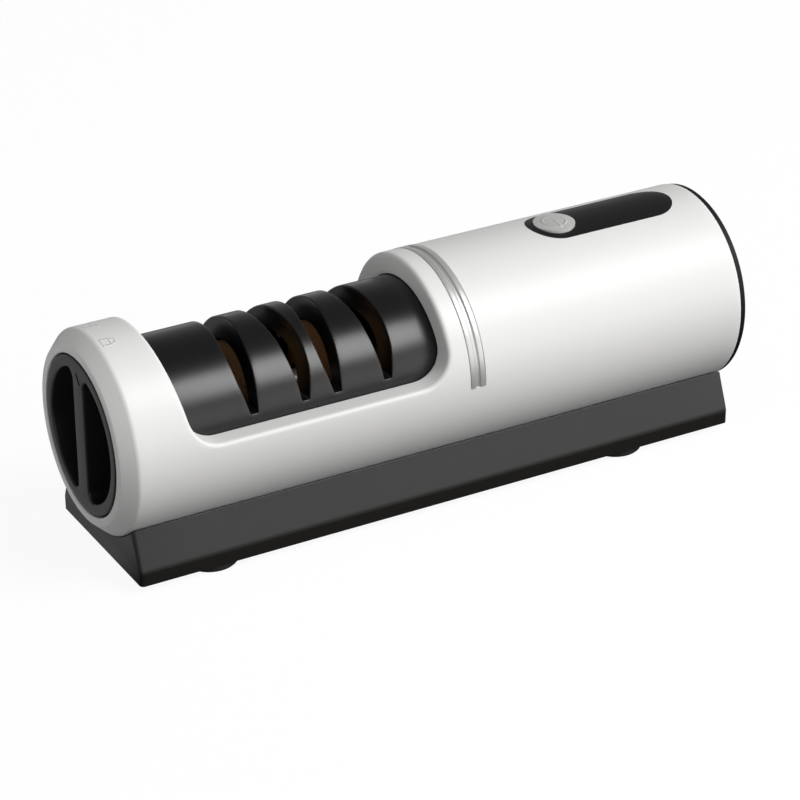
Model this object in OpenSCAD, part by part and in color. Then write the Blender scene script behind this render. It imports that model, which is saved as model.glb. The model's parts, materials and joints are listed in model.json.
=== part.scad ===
// Electric knife sharpener: a round housing on a dark base. The cartridge with the four
// blade slots slides out at the left end, and the motor, the cells and the button lie at
// the right. Sizes are in millimetres. Pieces are drawn along X from the knob's face (x = 0)
// around the housing's axis (y = 0, z = 0), with the front towards -Y, and placed() then
// stands them with the feet on z = 0.

/* [Housing] */
// Outer diameter of the round housing
body_d = 69.2; // [68.4:0.2:74]
// Wall of the housing
wall_t = 2.6; // [2:0.1:2.8]
// Width of the ring between the housing's outside and the bore that the cartridge slides in
bore_ring_w = 7.25; // [6.9:0.05:8.1]
// Width of the collar at the left end
collar_w = 20.5; // [20:0.5:26]
// Length of the collar's chamfer along the axis
chamfer_l = 4.8; // [3:0.1:6]
// Depth of the collar's chamfer towards the axis
chamfer_h = 4.5; // [3:0.1:4.8]
// Length of the cut-out over the cartridge
cut_l = 97.7; // [94:0.5:110]
// Height of the cut-out's floor above the axis
cut_floor = 3.9; // [3:0.1:5]
// Radius of the cut-out's lower corners
cut_corner_r = 11; // [6:0.5:13]
// Lean of the cut-out's left wall in degrees
cut_lean = 9; // [0:1:12]

/* [Knob] */
// Width of the grip bar across the knob
grip_w = 7.8; // [6.5:0.1:9]
// Width of the knob's rim around the finger recesses
rim_w = 4; // [3.2:0.1:5]
// Depth of the finger recesses
recess_depth = 9; // [7:0.1:9.3]
// Radius of the finger recesses' corners
recess_corner_r = 3; // [2:0.1:4]
// Turn of the knob from open to locked in degrees
lock_turn = 30; // [24:1:36]

/* [Cartridge] */
// Wall of the cartridge
cartridge_t = 2; // [1.6:0.1:2.4]
// Place of the first wheel's middle behind the knob's face
first_wheel_x = 59; // [57:0.5:62]
// Distance between the middles of the two wheels
wheel_pitch = 30.3; // [29:0.1:33]
// Distance from a wheel's middle to each of its two slots
slot_offset = 9.3; // [9:0.1:10]
// Height of the slots' floor above the axis
slot_floor = 6.9; // [6.6:0.1:8]
// Width of a slot at its floor
slot_floor_w = 2.7; // [2.2:0.1:3]
// Widest reach of a slot from its middle away from the wheel
slot_out_w = 4.8; // [4:0.1:5]
// Reach of a slot from its middle towards the wheel where it meets the surface
slot_in_w = 3.7; // [3.2:0.1:4.2]
// Turn of a slot towards its wheel from front to back in degrees
slot_turn = 3; // [2:0.5:4]
// Depth of the guide walls beside the slots
guide_depth = 7.6; // [6.5:0.1:8.5]

/* [Wheels] */
// Diameter of the wheel shaft
shaft_d = 5; // [4:0.1:5.6]
// Diameter of the wheel hubs
hub_d = 12; // [11:0.1:12.6]
// Width of a wheel at its rim
wheel_rim_w = 9; // [7.5:0.1:9.6]
// Slope of the wheels' grinding faces in degrees
grind_angle = 18; // [15:1:19]

/* [Drive] */
// Diameter of the motor
motor_d = 27.7; // [24:0.1:30]
// Length of the motor can
motor_l = 38; // [36:0.5:44]
// Diameter of the motor shaft
motor_shaft_d = 3; // [2.4:0.1:3.4]
// Diameter of the drive couplings
coupling_d = 16; // [13:0.5:18]

/* [Cells and boards] */
// Diameter of a cell
cell_d = 18.4; // [17:0.1:18.6]
// Length of a cell with its contact
cell_l = 65; // [62:0.5:70]
// Depth of the control board's underside below the housing's highest line
board_depth = 14.6; // [14.2:0.1:15.6]
// Thickness of the boards
board_t = 1.6; // [1.2:0.1:1.6]

/* [Top panel and button] */
// Length of the dark panel on top
panel_l = 56.5; // [50:0.5:60]
// Width of the dark panel
panel_w = 20.5; // [19:0.5:24]
// Thickness of the dark panel
panel_t = 1.5; // [1.2:0.1:1.6]
// Diameter of the button
button_d = 14.4; // [12:0.1:14.8]
// Height of the button above the panel
button_rise = 0.9; // [0.9:0.1:1.4]
// Travel of the button
button_travel = 0.9; // [0.5:0.1:0.9]

/* [Trim] */
// Distance of the bright band from the cut-out
band_offset = 6.8; // [5:0.1:12]
// Width of the bright band
band_w = 5.7; // [5:0.1:8]
// Thickness of the end cap's face
cap_t = 2.1; // [2:0.1:3]

/* [Base] */
// Depth of the base's underside below the housing's lowest line
base_under_h = 8.05; // [7.4:0.05:11.4]
// Distance of the base's lip inside the housing's widest line
base_side_inset = 4.3; // [1.6:0.1:5.6]
// Height of the base's upright lip
lip_h = 4.4; // [3:0.1:6]
// Distance of the base from the knob's face
base_left_inset = 5.4; // [3:0.1:8]
// Distance of the base from the end cap's face
base_right_inset = 3; // [2:0.1:8]
// Wall of the base
base_t = 2.4; // [2:0.1:2.6]
// Thickness of the bottom plate
plate_t = 1.8; // [1.6:0.1:2.2]
// Diameter of the feet
foot_d = 18.6; // [15:0.1:19]
// Height of the feet
foot_h = 2.5; // [2:0.1:4]
// Distance of the left feet from the knob's face
left_foot_x = 34.5; // [28:0.5:42]
// Distance of the right feet from the end cap's face
right_foot_x = 44; // [36:0.5:50]

/* [Hidden] */
$fn = 72;

// Clearances, and the overrun of cuts
over = 1;
slide_gap = 0.25;
knob_gap = 0.55;
run_gap = 0.04;
snug_gap = 0.05;
seat_gap = 0.1;
part_gap = 0.3;

// Screws: shank, head and cross slot
screw_r = 1.25;
screw_head_r = 2.3;
screw_head_h = 1.7;
screw_slot_w = 0.6;
screw_slot_depth = 0.8;
screw_bite = 3.5;
small_screw_share = 0.66;
screw_wall_t = 1.1;
screw_boss_r = screw_head_r + screw_wall_t;

// Housing
body_r = body_d / 2;
bore_r = body_r - bore_ring_w;
inner_r = body_r - wall_t;
fill_r = inner_r - 2 * seat_gap;
cut_x0 = collar_w;
cut_x1 = collar_w + cut_l;
chamfer_angle = atan(chamfer_h / chamfer_l);
hollow_left_r = body_r - chamfer_h + wall_t * tan(chamfer_angle) - wall_t / cos(chamfer_angle);
hollow_full_x = (chamfer_h - wall_t + wall_t / cos(chamfer_angle)) / tan(chamfer_angle);
cut_corner_z = cut_floor + cut_corner_r;
cut_left_corner_x = cut_x0 + (body_r - cut_corner_z) * tan(cut_lean) + cut_corner_r / cos(cut_lean);
cut_right_corner_x = cut_x1 - cut_corner_r;
lining_z = cut_floor - wall_t;

// Knob, its cam and the latch bolts
cam_t = 1.7;
knob_floor_t = 1.6;
knob_inner_gap = 0.7;
knob_l = recess_depth + knob_floor_t + knob_inner_gap + cam_t;
knob_r = bore_r - knob_gap;
knob_face_t = 2;
knob_skirt_t = 2.6;
knob_edge = 0.6;
knob_inner_r = knob_r - knob_skirt_t;
cup_t = 1.6;
recess_r = knob_r - rim_w;
pointer_w = 0.8;
pointer_l = 4;
pointer_depth = 0.4;
pointer_lean = 37;
pointer_z_share = 0.9;
knob_back_gap = 0.4;
cam_hub_r = 4;
cam_screw_share = 0.62;
cam_screw_l = 5;
clip_t = 0.8;
clip_wall_t = 2;
clip_groove = 0.7;
bolt_t = 2.6;
bolt_w = 5;
bolt_in_y = 9;
bolt_travel = 2;
bolt_tip_gap = 0.4;
bolt_pin_y = 14;
bolt_pin_r = 1.5;
bolt_side_gap = 0.2;
cam_slot_steps = 12;

// Cartridge along the axis
cart_x = knob_l + knob_back_gap;
cart_r = bore_r - slide_gap;
cart_inner_r = cart_r - cartridge_t;
cart_left_wall_t = 6;
knob_room_l = 4.6;
bearing_wall_t = 4;
left_bearing_x = cart_x + cart_left_wall_t + knob_room_l;
chamber_x = left_bearing_x + bearing_wall_t;
cart_reach = 0.8;
cart_x1 = cut_x1 + cart_reach;
guide_t = 1.6;
guide_r = cart_r - guide_depth;
cart_boss_bite = 0.4;
cart_boss_inset = cartridge_t + screw_boss_r - cart_boss_bite;
cart_boss_h = 5;
cart_clamp_h = 8;
slot_height_shares = [0.23, 0.45, 0.85, 1];
slot_out_shares = [0.51, 0.75, 1, 0.94];
slot_in_shares = [0.45, 0.58, 0.8, 1];

// Motor bulkhead, couplings and motor along the axis
bulkhead_t = 3;
bulkhead_x = cut_x1 + wall_t + seat_gap;
motor_x = bulkhead_x + bulkhead_t;
jaw_l = 3.6;
jaw_angle = 60;
coupling_disc_t = 2.5;
coupling_gap = 0.4;
coupling_room = 1;
coupling_hub_r = 3.2;
coupling_r = coupling_d / 2;
drive_disc_x = bulkhead_x - coupling_room - coupling_disc_t;
driven_face_x = drive_disc_x - coupling_gap - jaw_l;
driven_disc_x = driven_face_x - coupling_disc_t;
right_bearing_x = driven_disc_x - coupling_room - bearing_wall_t;
motor_r = motor_d / 2;
motor_wall_t = 1.2;
motor_face_t = 1.5;
motor_boss_r = 5;
motor_boss_l = 2.4;
motor_screw_z = 8;
motor_screw_l = 4.2;
motor_shaft_r = motor_shaft_d / 2;
motor_bush_r = 3;
bell_inside_l = 2;
bell_flange_t = 1.5;
bell_x1 = motor_x + motor_l + bell_flange_t;
magnet_t = 2;
magnet_angle = 110;
air_gap = 0.5;
screw_tip_room = 5;
armature_x = motor_x + motor_face_t + screw_tip_room;
armature_ends_l = 16;
armature_l = motor_l - armature_ends_l;
pole_slot_w = 2.6;
coil_wall_t = 2.2;
coil_in_r = 4.7;
coil_end_l = 2.4;
commutator_l = 2.8;
commutator_r = 3.4;
commutator_slit_w = 0.4;
terminal_w = 4;
terminal_t = 0.8;
terminal_l = 4;
terminal_y = 8;
terminal_z = 4;
skirt_l = 14;
skirt_t = 1.8;
bulkhead_foot_l = 12;
bulkhead_foot_w = 10;
bulkhead_foot_h = 7;

// Wheel shaft and wheels
shaft_r = shaft_d / 2;
hub_r = hub_d / 2;
wheel_gap = 0.5;
wheel_r = guide_r - wheel_gap;
wheel_hub_half = wheel_rim_w / 2 + (wheel_r - hub_r) * tan(grind_angle);
hub_lip = 1.3;
hub_half = wheel_hub_half + hub_lip;
second_wheel_x = first_wheel_x + wheel_pitch;
bush_t = 2;
bush_r = shaft_r + bush_t;
spacer_t = 1.5;
shaft_x = left_bearing_x + bolt_side_gap;
shaft_x1 = driven_face_x - seat_gap;
left_clip_x = chamber_x + part_gap;
right_clip_x = right_bearing_x - part_gap - clip_t;

// Cradle under the cartridge
cradle_t = 2;
cradle_top_z = lining_z - bolt_side_gap;
cradle_x1 = bulkhead_x - seat_gap;
cradle_rib_t = 2;
cradle_rib_shares = [0.03, 0.34, 0.66, 0.97];
cradle_screw_inset = 9.5;
cradle_pad_w = 10;
window_gap = 0.3;

// Cells and their tray
bell_to_cells = 2.6;
cell_r = cell_d / 2;
cell_x = bell_x1 + bell_to_cells;
cell_x1 = cell_x + cell_l;
cell_nub_l = 1;
cell_nub_r = 3;
cell_half_gap = 0.4;
cell_y = cell_r + cell_half_gap;
cell_floor_h = 8.6;
cell_z = cell_floor_h + cell_r - fill_r;
strip_t = 0.3;
strip_w = 6;
strip_reach_y = 15;
strip_tab_y = 5;
tray_inset = 1.5;
tray_x = cell_x + tray_inset;
tray_rib_t = 4;
tray_rib_count = 4;
tray_column_ribs = [0, 2];
tray_grip_h = 4;
tray_top_z = cell_z + tray_grip_h;
tray_column_w = 3.8;
tray_web_w = 3;
tray_web_drop = 2;
tray_web_top_z = cell_z - tray_web_drop;
tray_foot_w = 8;
tray_foot_l = 9;
tray_foot_h = 8.5;

// Right end: boards, port and end cap
cell_right_room = 1.9;
body_l = cell_x1 + cell_right_room;
total_l = body_l + cap_t;
cap_inset = 0.4;
cap_r = body_r - cap_inset;
cap_edge = 0.6;
spigot_l = 4.5;
spigot_t = 1.6;
cap_pad_t = 2;
cap_boss_r = 2.9;
boss_bite = 0.5;
cap_screw_r = inner_r - cap_boss_r + boss_bite;
cap_boss_l = 12;
cap_boss_x = body_l - cap_pad_t - seat_gap - cap_boss_l;
tray_l = cap_boss_x - part_gap - tray_x;
cap_screw_l = 9;
cap_screw_angles = [30, 150, 270];
port_z = 4.7;
port_w = 8.9;
port_h = 3.2;
port_l = 7.3;
port_wall_t = 0.35;
port_sink = 0.8;
port_gap = 0.15;
tongue_t = 0.7;
charge_board_w = 16;
charge_board_l = 14;
rail_w = 3;
rail_h = 4.4;
rail_l = 13.4;
rail_bite = 0.9;

// Control board
board_lip = 0.5;
board_edge_gap = 0.4;
board_side_gap = 0.84;
board_z = body_r - board_depth;
board_half_w = sqrt(pow(fill_r, 2) - pow(board_z + board_t, 2)) - board_side_gap;
tray_column_y = board_half_w + board_edge_gap - tray_column_w;
chip_h = 1.4;
chip_w = 8;
switch_w = 6;
switch_h = 1.9;
plunger_r = 1.7;
plunger_h = 0.9;

// Panel and button
panel_right_gap = 8.9;
panel_x1 = body_l - panel_right_gap;
panel_x = panel_x1 - panel_l;
panel_r = panel_w / 2;
button_x = panel_x + panel_r;
button_r = button_d / 2;
button_gap = 0.15;
button_dome_r = 40;
flange_w = 0.9;
flange_t = 1;
flange_r = button_r + flange_w;
flange_top_z = sqrt(pow(body_r - panel_t, 2) - pow(flange_r, 2)) - button_gap;
flange_z = flange_top_z - flange_t;
stem_r = 2;
switch_top_z = board_z + board_t + switch_h + plunger_h;
stem_end_z = switch_top_z + button_travel + seat_gap;
spring_r = 5.2;
board_x = min(tray_x, button_x - spring_r) - board_lip;
spring_wire_r = 0.25;
spring_turns = 5;
spring_steps = 12;
spring_sides = 5;

// Leads
lead_r = 0.6;
lead_rise = 5;
lead_bend = 8;
charge_lead_y = 4;
cell_lead_y = 13.5;
cell_lead_rise = 12;
cell_lead_z = cell_z + cell_lead_rise;
lead_drop = 5;

// Bright band
band_x = cut_x1 + band_offset;
band_depth = 0.9;
band_proud = 0.15;
band_groove = 0.35;
band_edge = 0.3;
band_rib_w = 2.3;

// Base
base_x = base_left_inset;
base_x1 = total_l - base_right_inset;
base_l = base_x1 - base_x;
base_half = body_r - base_side_inset;
base_w = 2 * base_half;
base_meet_share = 0.685;
base_meet_z = -body_r * base_meet_share;
base_meet_half = sqrt(pow(body_r, 2) - pow(base_meet_z, 2));
base_fit_r = body_r + seat_gap;
base_drop = body_r + base_under_h;
lip_z = lip_h - base_drop;
base_boss_z = plate_t - base_drop;
plate_corner_r = 1.5;
plate_screw_shares = [0.24, 0.74];
plate_screw_inset = 9.3;
plate_screw_y = base_half - plate_screw_inset;
plate_screw_l = 6;
foot_y = base_half - foot_d / 2 - part_gap;
foot_edge = 0.5;
axis_h = foot_h + base_drop;
body_screw_l = base_t + seat_gap + wall_t + screw_bite;
body_screw_z = -base_fit_r - base_t;
bulkhead_screw_x = motor_x + bulkhead_foot_l / 2;
tray_rib_pitch = (tray_l - tray_rib_t) / (tray_rib_count - 1);
tray_screw_x = tray_x + (tray_rib_count - 1.5) * tray_rib_pitch + tray_rib_t / 2;
cradle_screw_xs = [cut_x0 + cradle_screw_inset, cut_x1 - 2 * cradle_screw_inset];
body_screw_xs = concat(cradle_screw_xs, [bulkhead_screw_x, tray_screw_x]);

// Stands a piece with the feet on z = 0 and the middle of its length on x = 0
module placed() {
    translate([-total_l / 2, 0, axis_h]) children();
}

// Extrudes an outline in Y and Z along X
module section(x, l) {
    translate([x, 0, 0]) rotate([90, 0, 90]) linear_extrude(l) children();
}

// Turns an outline of [x, radius] points around the axis, through an angle from +Y over the top
module turned(profile, angle = 360) {
    rotate([90, 0, 90]) rotate_extrude(angle = angle) polygon([for (p = profile) [p[1], p[0]]]);
}

// Extrudes an outline in X and Z across the whole width along Y
module across() {
    rotate([90, 0, 0]) linear_extrude(body_d + 2 * over, center = true) children();
}

module ring(outer, inner) {
    difference() {
        circle(outer);
        circle(inner);
    }
}

// Two opposite wedges of an angle, wide enough to cut any ring of radius r
module wedges(r, angle) {
    half = angle / 2;
    for (turn = [0, 180]) rotate(turn)
        polygon([[0, 0], [2 * r * cos(half), -2 * r * sin(half)], [2 * r * cos(half), 2 * r * sin(half)]]);
}

// Round-ended outline from x0 to x1 with a half width r, grown all round
module obround(x0, x1, r, grow = 0) {
    for (x = [x0 + r, x1 - r]) translate([x, 0]) circle(r + grow);
    translate([x0 + r, -r - grow]) square([x1 - x0 - 2 * r, 2 * (r + grow)]);
}

// A screw with its head below z = 0 and its shank above
module screw(shank_l) {
    cross_l = 1.2 * screw_head_r;
    difference() {
        translate([0, 0, -screw_head_h]) cylinder(r = screw_head_r, h = screw_head_h);
        for (turn = [0, 90]) rotate(turn)
            translate([-cross_l / 2, -screw_slot_w / 2, -screw_head_h - over])
                cube([cross_l, screw_slot_w, screw_slot_depth + over]);
    }
    cylinder(r = screw_r, h = shank_l);
}

// A round rod from point a to point b
module rod(a, b, r) {
    v = b - a;
    translate(a) rotate([0, acos(v[2] / norm(v)), atan2(v[1], v[0])]) cylinder(r = r, h = norm(v));
}

// An insulated lead along a list of points, rounded at each bend
module lead(points) {
    for (i = [1 : len(points) - 1]) rod(points[i - 1], points[i], lead_r);
    for (i = [1 : len(points) - 2]) translate(points[i]) sphere(lead_r + snug_gap);
}

// Outline of the cut-out in X and Z, grown all round
module cut_outline(grow) {
    r = cut_corner_r + grow;
    top = body_r + over;
    meet_r = r - snug_gap;
    tangent = [cut_left_corner_x - meet_r * cos(cut_lean), cut_corner_z - meet_r * sin(cut_lean)];
    polygon([
        [tangent[0] - (top - tangent[1]) * tan(cut_lean), top],
        tangent,
        [cut_left_corner_x, cut_floor - grow],
        [cut_right_corner_x, cut_floor - grow],
        [cut_x1 + grow, cut_corner_z],
        [cut_x1 + grow, top]
    ]);
    for (x = [cut_left_corner_x, cut_right_corner_x]) translate([x, cut_corner_z]) circle(r);
}

module housing_solid() {
    turned([
        [0, 0],
        [0, body_r - chamfer_h],
        [chamfer_l, body_r],
        [body_l, body_r],
        [body_l, 0]
    ]);
}

module panel_prism(grow) {
    linear_extrude(body_r + over) obround(panel_x, panel_x1, panel_r, grow);
}

module at_cap_screws() {
    for (a = cap_screw_angles) rotate(a) translate([cap_screw_r, 0]) children();
}

// White shell: collar, cut-out over the cartridge and motor room in one piece
module housing() {
    color([0.93, 0.93, 0.92]) difference() {
        union() {
            difference() {
                housing_solid();
                turned([
                    [wall_t, 0],
                    [wall_t, hollow_left_r],
                    [hollow_full_x, inner_r],
                    [body_l + over, inner_r],
                    [body_l + over, 0]
                ]);
            }
            intersection() {
                housing_solid();
                across() cut_outline(wall_t);
            }
            intersection() {
                housing_solid();
                section(cap_boss_x, cap_boss_l)
                    at_cap_screws() circle(cap_boss_r);
            }
        }
        section(-over, cut_x1 + wall_t + 2 * over) circle(bore_r);
        across() cut_outline(0);
        difference() {
            panel_prism(seat_gap);
            section(panel_x - over, panel_l + 2 * over) circle(body_r - panel_t - seat_gap);
        }
        translate([button_x, 0, 0]) cylinder(r = flange_r + part_gap, h = body_r);
        turned([
            [band_x - seat_gap, body_r - band_depth - seat_gap],
            [band_x - seat_gap, body_r + over],
            [band_x + band_w + seat_gap, body_r + over],
            [band_x + band_w + seat_gap, body_r - band_depth - seat_gap]
        ], 180);
        for (x = body_screw_xs) translate([x, 0, -body_r - over])
            cylinder(r = screw_r + window_gap, h = body_r);
        section(body_l - cap_pad_t - cap_screw_l, cap_screw_l) at_cap_screws() circle(screw_r + snug_gap);
    }
}

// Bright band over the top with a rib along each edge
module trim_band() {
    band_x1 = band_x + band_w;
    color([0.78, 0.78, 0.78]) turned([
        [band_x, body_r - band_depth],
        [band_x, body_r],
        [band_x + band_edge, body_r + band_proud],
        [band_x + band_rib_w - band_edge, body_r + band_proud],
        [band_x + band_rib_w, body_r - band_groove],
        [band_x1 - band_rib_w, body_r - band_groove],
        [band_x1 - band_rib_w + band_edge, body_r + band_proud],
        [band_x1 - band_edge, body_r + band_proud],
        [band_x1, body_r],
        [band_x1, body_r - band_depth]
    ], 180);
}

// Dark cap on the right end with its spigot, screw pads, port opening and board rails
module end_cap() {
    rail_y = charge_board_w / 2 - rail_bite;
    rail_z = port_z - port_h / 2 - board_t / 2 - rail_h / 2;
    color([0.13, 0.13, 0.13]) difference() {
        union() {
            turned([
                [body_l, 0],
                [body_l, cap_r],
                [total_l - cap_edge, cap_r],
                [total_l, cap_r - cap_edge],
                [total_l, 0]
            ]);
            section(body_l - spigot_l, spigot_l + cap_t / 2) difference() {
                ring(fill_r, fill_r - spigot_t);
                at_cap_screws() circle(cap_boss_r + part_gap);
            }
            section(body_l - cap_pad_t, cap_pad_t + cap_t / 2) intersection() {
                circle(fill_r);
                at_cap_screws() circle(cap_boss_r);
            }
            for (side = [-1, 1]) section(body_l - rail_l, rail_l + cap_t / 2)
                translate([side * (rail_y + rail_w / 2), rail_z + rail_h / 2])
                    square([rail_w, rail_h], center = true);
        }
        section(body_l - rail_l - over, rail_l + over)
            translate([-charge_board_w / 2 - seat_gap, port_z - port_h / 2 - board_t - snug_gap])
                square([charge_board_w + 2 * seat_gap, board_t + 2 * snug_gap]);
        section(body_l - over, cap_t + 2 * over) translate([0, port_z])
            obround(-port_w / 2, port_w / 2, port_h / 2, port_gap);
        section(body_l - cap_pad_t - over, cap_pad_t + cap_t + 2 * over)
            at_cap_screws() circle(screw_r + seat_gap);
        section(total_l - screw_head_h - seat_gap, screw_head_h + over)
            at_cap_screws() circle(screw_head_r + seat_gap);
    }
}

module end_cap_screws() {
    color([0.7, 0.7, 0.68]) for (a = cap_screw_angles) rotate([a, 0, 0])
        translate([total_l - screw_head_h - seat_gap, cap_screw_r, 0])
            rotate([0, -90, 0]) screw(cap_screw_l);
}

// Dark panel let into the top, flush with the housing
module top_panel() {
    color([0.1, 0.1, 0.1]) difference() {
        intersection() {
            panel_prism(0);
            section(panel_x - over, panel_l + 2 * over) circle(body_r);
        }
        section(panel_x - over, panel_l + 2 * over) circle(body_r - panel_t);
        translate([button_x, 0, 0]) cylinder(r = button_r + button_gap, h = body_r + over);
    }
}

// Button with a domed top, a flange under the panel and a stem over the switch
module power_button() {
    top_z = body_r + button_rise;
    color([0.72, 0.72, 0.7]) translate([button_x, 0, 0]) {
        intersection() {
            translate([0, 0, flange_z]) cylinder(r = button_r, h = top_z - flange_z);
            translate([0, 0, top_z - button_dome_r]) sphere(button_dome_r);
        }
        translate([0, 0, flange_z]) cylinder(r = flange_r, h = flange_t);
        translate([0, 0, stem_end_z]) cylinder(r = stem_r, h = flange_z - stem_end_z + flange_t / 2);
    }
}

// Coil spring between the control board and the button's flange
module button_spring() {
    z0 = board_z + board_t + spring_wire_r;
    rise = flange_z - spring_wire_r - z0;
    steps = spring_turns * spring_steps;
    function wire_point(i, j) = let (
        a = 360 * i / spring_steps,
        b = 360 * j / spring_sides,
        r = spring_r + spring_wire_r * cos(b)
    ) [r * cos(a), r * sin(a), z0 + rise * i / steps + spring_wire_r * sin(b)];
    points = [for (i = [0 : steps]) for (j = [0 : spring_sides - 1]) wire_point(i, j)];
    walls = [for (i = [0 : steps - 1]) for (j = [0 : spring_sides - 1]) let (
        k = (j + 1) % spring_sides,
        here = i * spring_sides,
        next = here + spring_sides
    ) each [[here + j, here + k, next + k], [here + j, next + k, next + j]]];
    ends = [
        [for (j = [spring_sides - 1 : -1 : 0]) j],
        [for (j = [0 : spring_sides - 1]) steps * spring_sides + j]
    ];
    color([0.7, 0.7, 0.7]) translate([button_x, 0, 0]) polyhedron(points, concat(walls, ends));
}

module tact_switch() {
    color([0.15, 0.15, 0.15]) translate([button_x, 0, board_z + board_t]) {
        translate([-switch_w / 2, -switch_w / 2, 0]) cube([switch_w, switch_w, switch_h]);
        cylinder(r = plunger_r, h = switch_h + plunger_h);
    }
}

function tray_rib_x(i) = tray_x + i * tray_rib_pitch;

module at_board_screws() {
    for (i = tray_column_ribs) for (side = [-1, 1])
        translate([tray_rib_x(i) + tray_rib_t / 2, side * (tray_column_y + tray_column_w / 2), 0]) children();
}

// Control board with its chips on the underside
module control_board() {
    board_l = tray_rib_x(tray_column_ribs[1]) + tray_rib_t + board_lip - board_x;
    color([0.1, 0.35, 0.2]) difference() {
        union() {
            translate([board_x, -board_half_w, board_z]) cube([board_l, 2 * board_half_w, board_t]);
            for (i = [1 : 2]) translate([board_x + i * board_l / 4, -chip_w / 2, board_z - chip_h])
                cube([chip_w, chip_w, chip_h + board_t]);
        }
        at_board_screws() translate([0, 0, board_z - over])
            cylinder(r = small_screw_share * screw_r + seat_gap, h = board_t + 2 * over);
    }
}

module board_screws() {
    color([0.7, 0.7, 0.68]) at_board_screws() translate([0, 0, board_z + board_t])
        rotate([180, 0, 0]) scale(small_screw_share) screw(cart_clamp_h);
}

// Ribbed tray that holds the two cells and carries the control board on four columns
module electronics_tray() {
    color([0.2, 0.2, 0.2]) difference() {
        union() {
            for (i = [0 : tray_rib_count - 1]) section(tray_rib_x(i), tray_rib_t) intersection() {
                circle(fill_r);
                translate([-fill_r, -fill_r]) square([2 * fill_r, fill_r + tray_top_z]);
            }
            section(tray_x, tray_l) intersection() {
                circle(fill_r);
                translate([-tray_web_w / 2, -fill_r]) square([tray_web_w, fill_r + tray_web_top_z]);
            }
            section(tray_screw_x - tray_foot_l / 2, tray_foot_l) intersection() {
                circle(fill_r);
                translate([-tray_foot_w / 2, -fill_r]) square([tray_foot_w, tray_foot_h]);
            }
            for (i = tray_column_ribs) for (side = [-1, 1]) section(tray_rib_x(i), tray_rib_t)
                translate([side * (tray_column_y + tray_column_w / 2) - tray_column_w / 2, tray_top_z - over])
                    square([tray_column_w, board_z - tray_top_z + over]);
        }
        section(tray_x - over, tray_l + 2 * over)
            for (side = [-1, 1]) translate([side * cell_y, cell_z]) circle(cell_r + seat_gap);
        at_board_screws() translate([0, 0, board_z - cart_clamp_h])
            cylinder(r = small_screw_share * screw_r + snug_gap, h = cart_clamp_h + over);
        body_screw_pilot(tray_screw_x);
    }
}

// Pilot hole that a body screw bites into from below
module body_screw_pilot(x) {
    translate([x, 0, -inner_r - over]) cylinder(r = screw_r + snug_gap, h = screw_bite + part_gap + over);
}

// A cell with its contact towards the left end when turned, or towards the right
module cell(side, turned_round) {
    body_x = turned_round ? cell_x + cell_nub_l : cell_x;
    color([0.16, 0.3, 0.62]) {
        section(body_x, cell_l - cell_nub_l) translate([side * cell_y, cell_z]) circle(cell_r);
        section(cell_x, cell_l) translate([side * cell_y, cell_z]) circle(cell_nub_r);
    }
}

module cell_front() {
    cell(-1, true);
}

module cell_back() {
    cell(1, false);
}

// Nickel strips: one joins the cells at the left, two tabs end them at the right
module cell_strips() {
    color([0.75, 0.75, 0.72]) {
        section(cell_x - strip_t, strip_t) translate([-strip_reach_y, cell_z - strip_w / 2])
            square([2 * strip_reach_y, strip_w]);
        for (side = [-1, 1]) section(cell_x1, strip_t)
            translate([side * (strip_tab_y + strip_reach_y) / 2, cell_z])
                square([strip_reach_y - strip_tab_y, strip_w], center = true);
    }
}

module charge_board() {
    color([0.1, 0.35, 0.2])
        translate([body_l - charge_board_l, -charge_board_w / 2, port_z - port_h / 2 - board_t])
            cube([charge_board_l - seat_gap, charge_board_w, board_t]);
}

// Charging inlet: a round-ended metal shell with a contact tongue
module charge_port() {
    x = total_l - port_sink - port_l;
    color([0.72, 0.72, 0.72]) {
        section(x, port_l) translate([0, port_z]) difference() {
            obround(-port_w / 2, port_w / 2, port_h / 2);
            obround(-port_w / 2, port_w / 2, port_h / 2, -port_wall_t);
        }
        section(x, port_wall_t) translate([0, port_z]) obround(-port_w / 2, port_w / 2, port_h / 2);
        section(x, port_l - port_sink) translate([0, port_z])
            square([port_w - 2 * port_h / 2, tongue_t], center = true);
    }
}

// Leads from the motor's terminals up to the control board
module motor_leads() {
    x = bell_x1 + terminal_l - lead_r;
    z = terminal_z + terminal_t / 2;
    color([0.6, 0.1, 0.1]) for (side = [-1, 1]) let (y = side * terminal_y) lead([
        [x, y, z],
        [x, y, z + lead_rise],
        [x + lead_bend, y, board_z - lead_drop],
        [x + lead_bend, y, board_z]
    ]);
}

// Leads from the cells' right tabs back over the cells and up to the control board
module cell_leads() {
    x = cell_x1 + strip_t + lead_r;
    x1 = tray_rib_x(tray_column_ribs[1]);
    color([0.75, 0.1, 0.1]) for (side = [-1, 1]) let (y = side * cell_lead_y) lead([
        [x, y, cell_z],
        [x, y, cell_lead_z],
        [x1, y, cell_lead_z],
        [x1, y, board_z]
    ]);
}

// Leads from the charge board to the control board
module charge_leads() {
    x = body_l - charge_board_l + 2 * lead_r;
    x1 = tray_rib_x(tray_column_ribs[1]) + tray_rib_t - lead_r;
    color([0.1, 0.1, 0.1]) for (side = [-1, 1]) let (y = side * charge_lead_y) lead([
        [x, y, port_z - port_h / 2],
        [x, y, port_z + lead_rise],
        [x1, y, board_z - lead_drop],
        [x1, y, board_z]
    ]);
}

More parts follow.
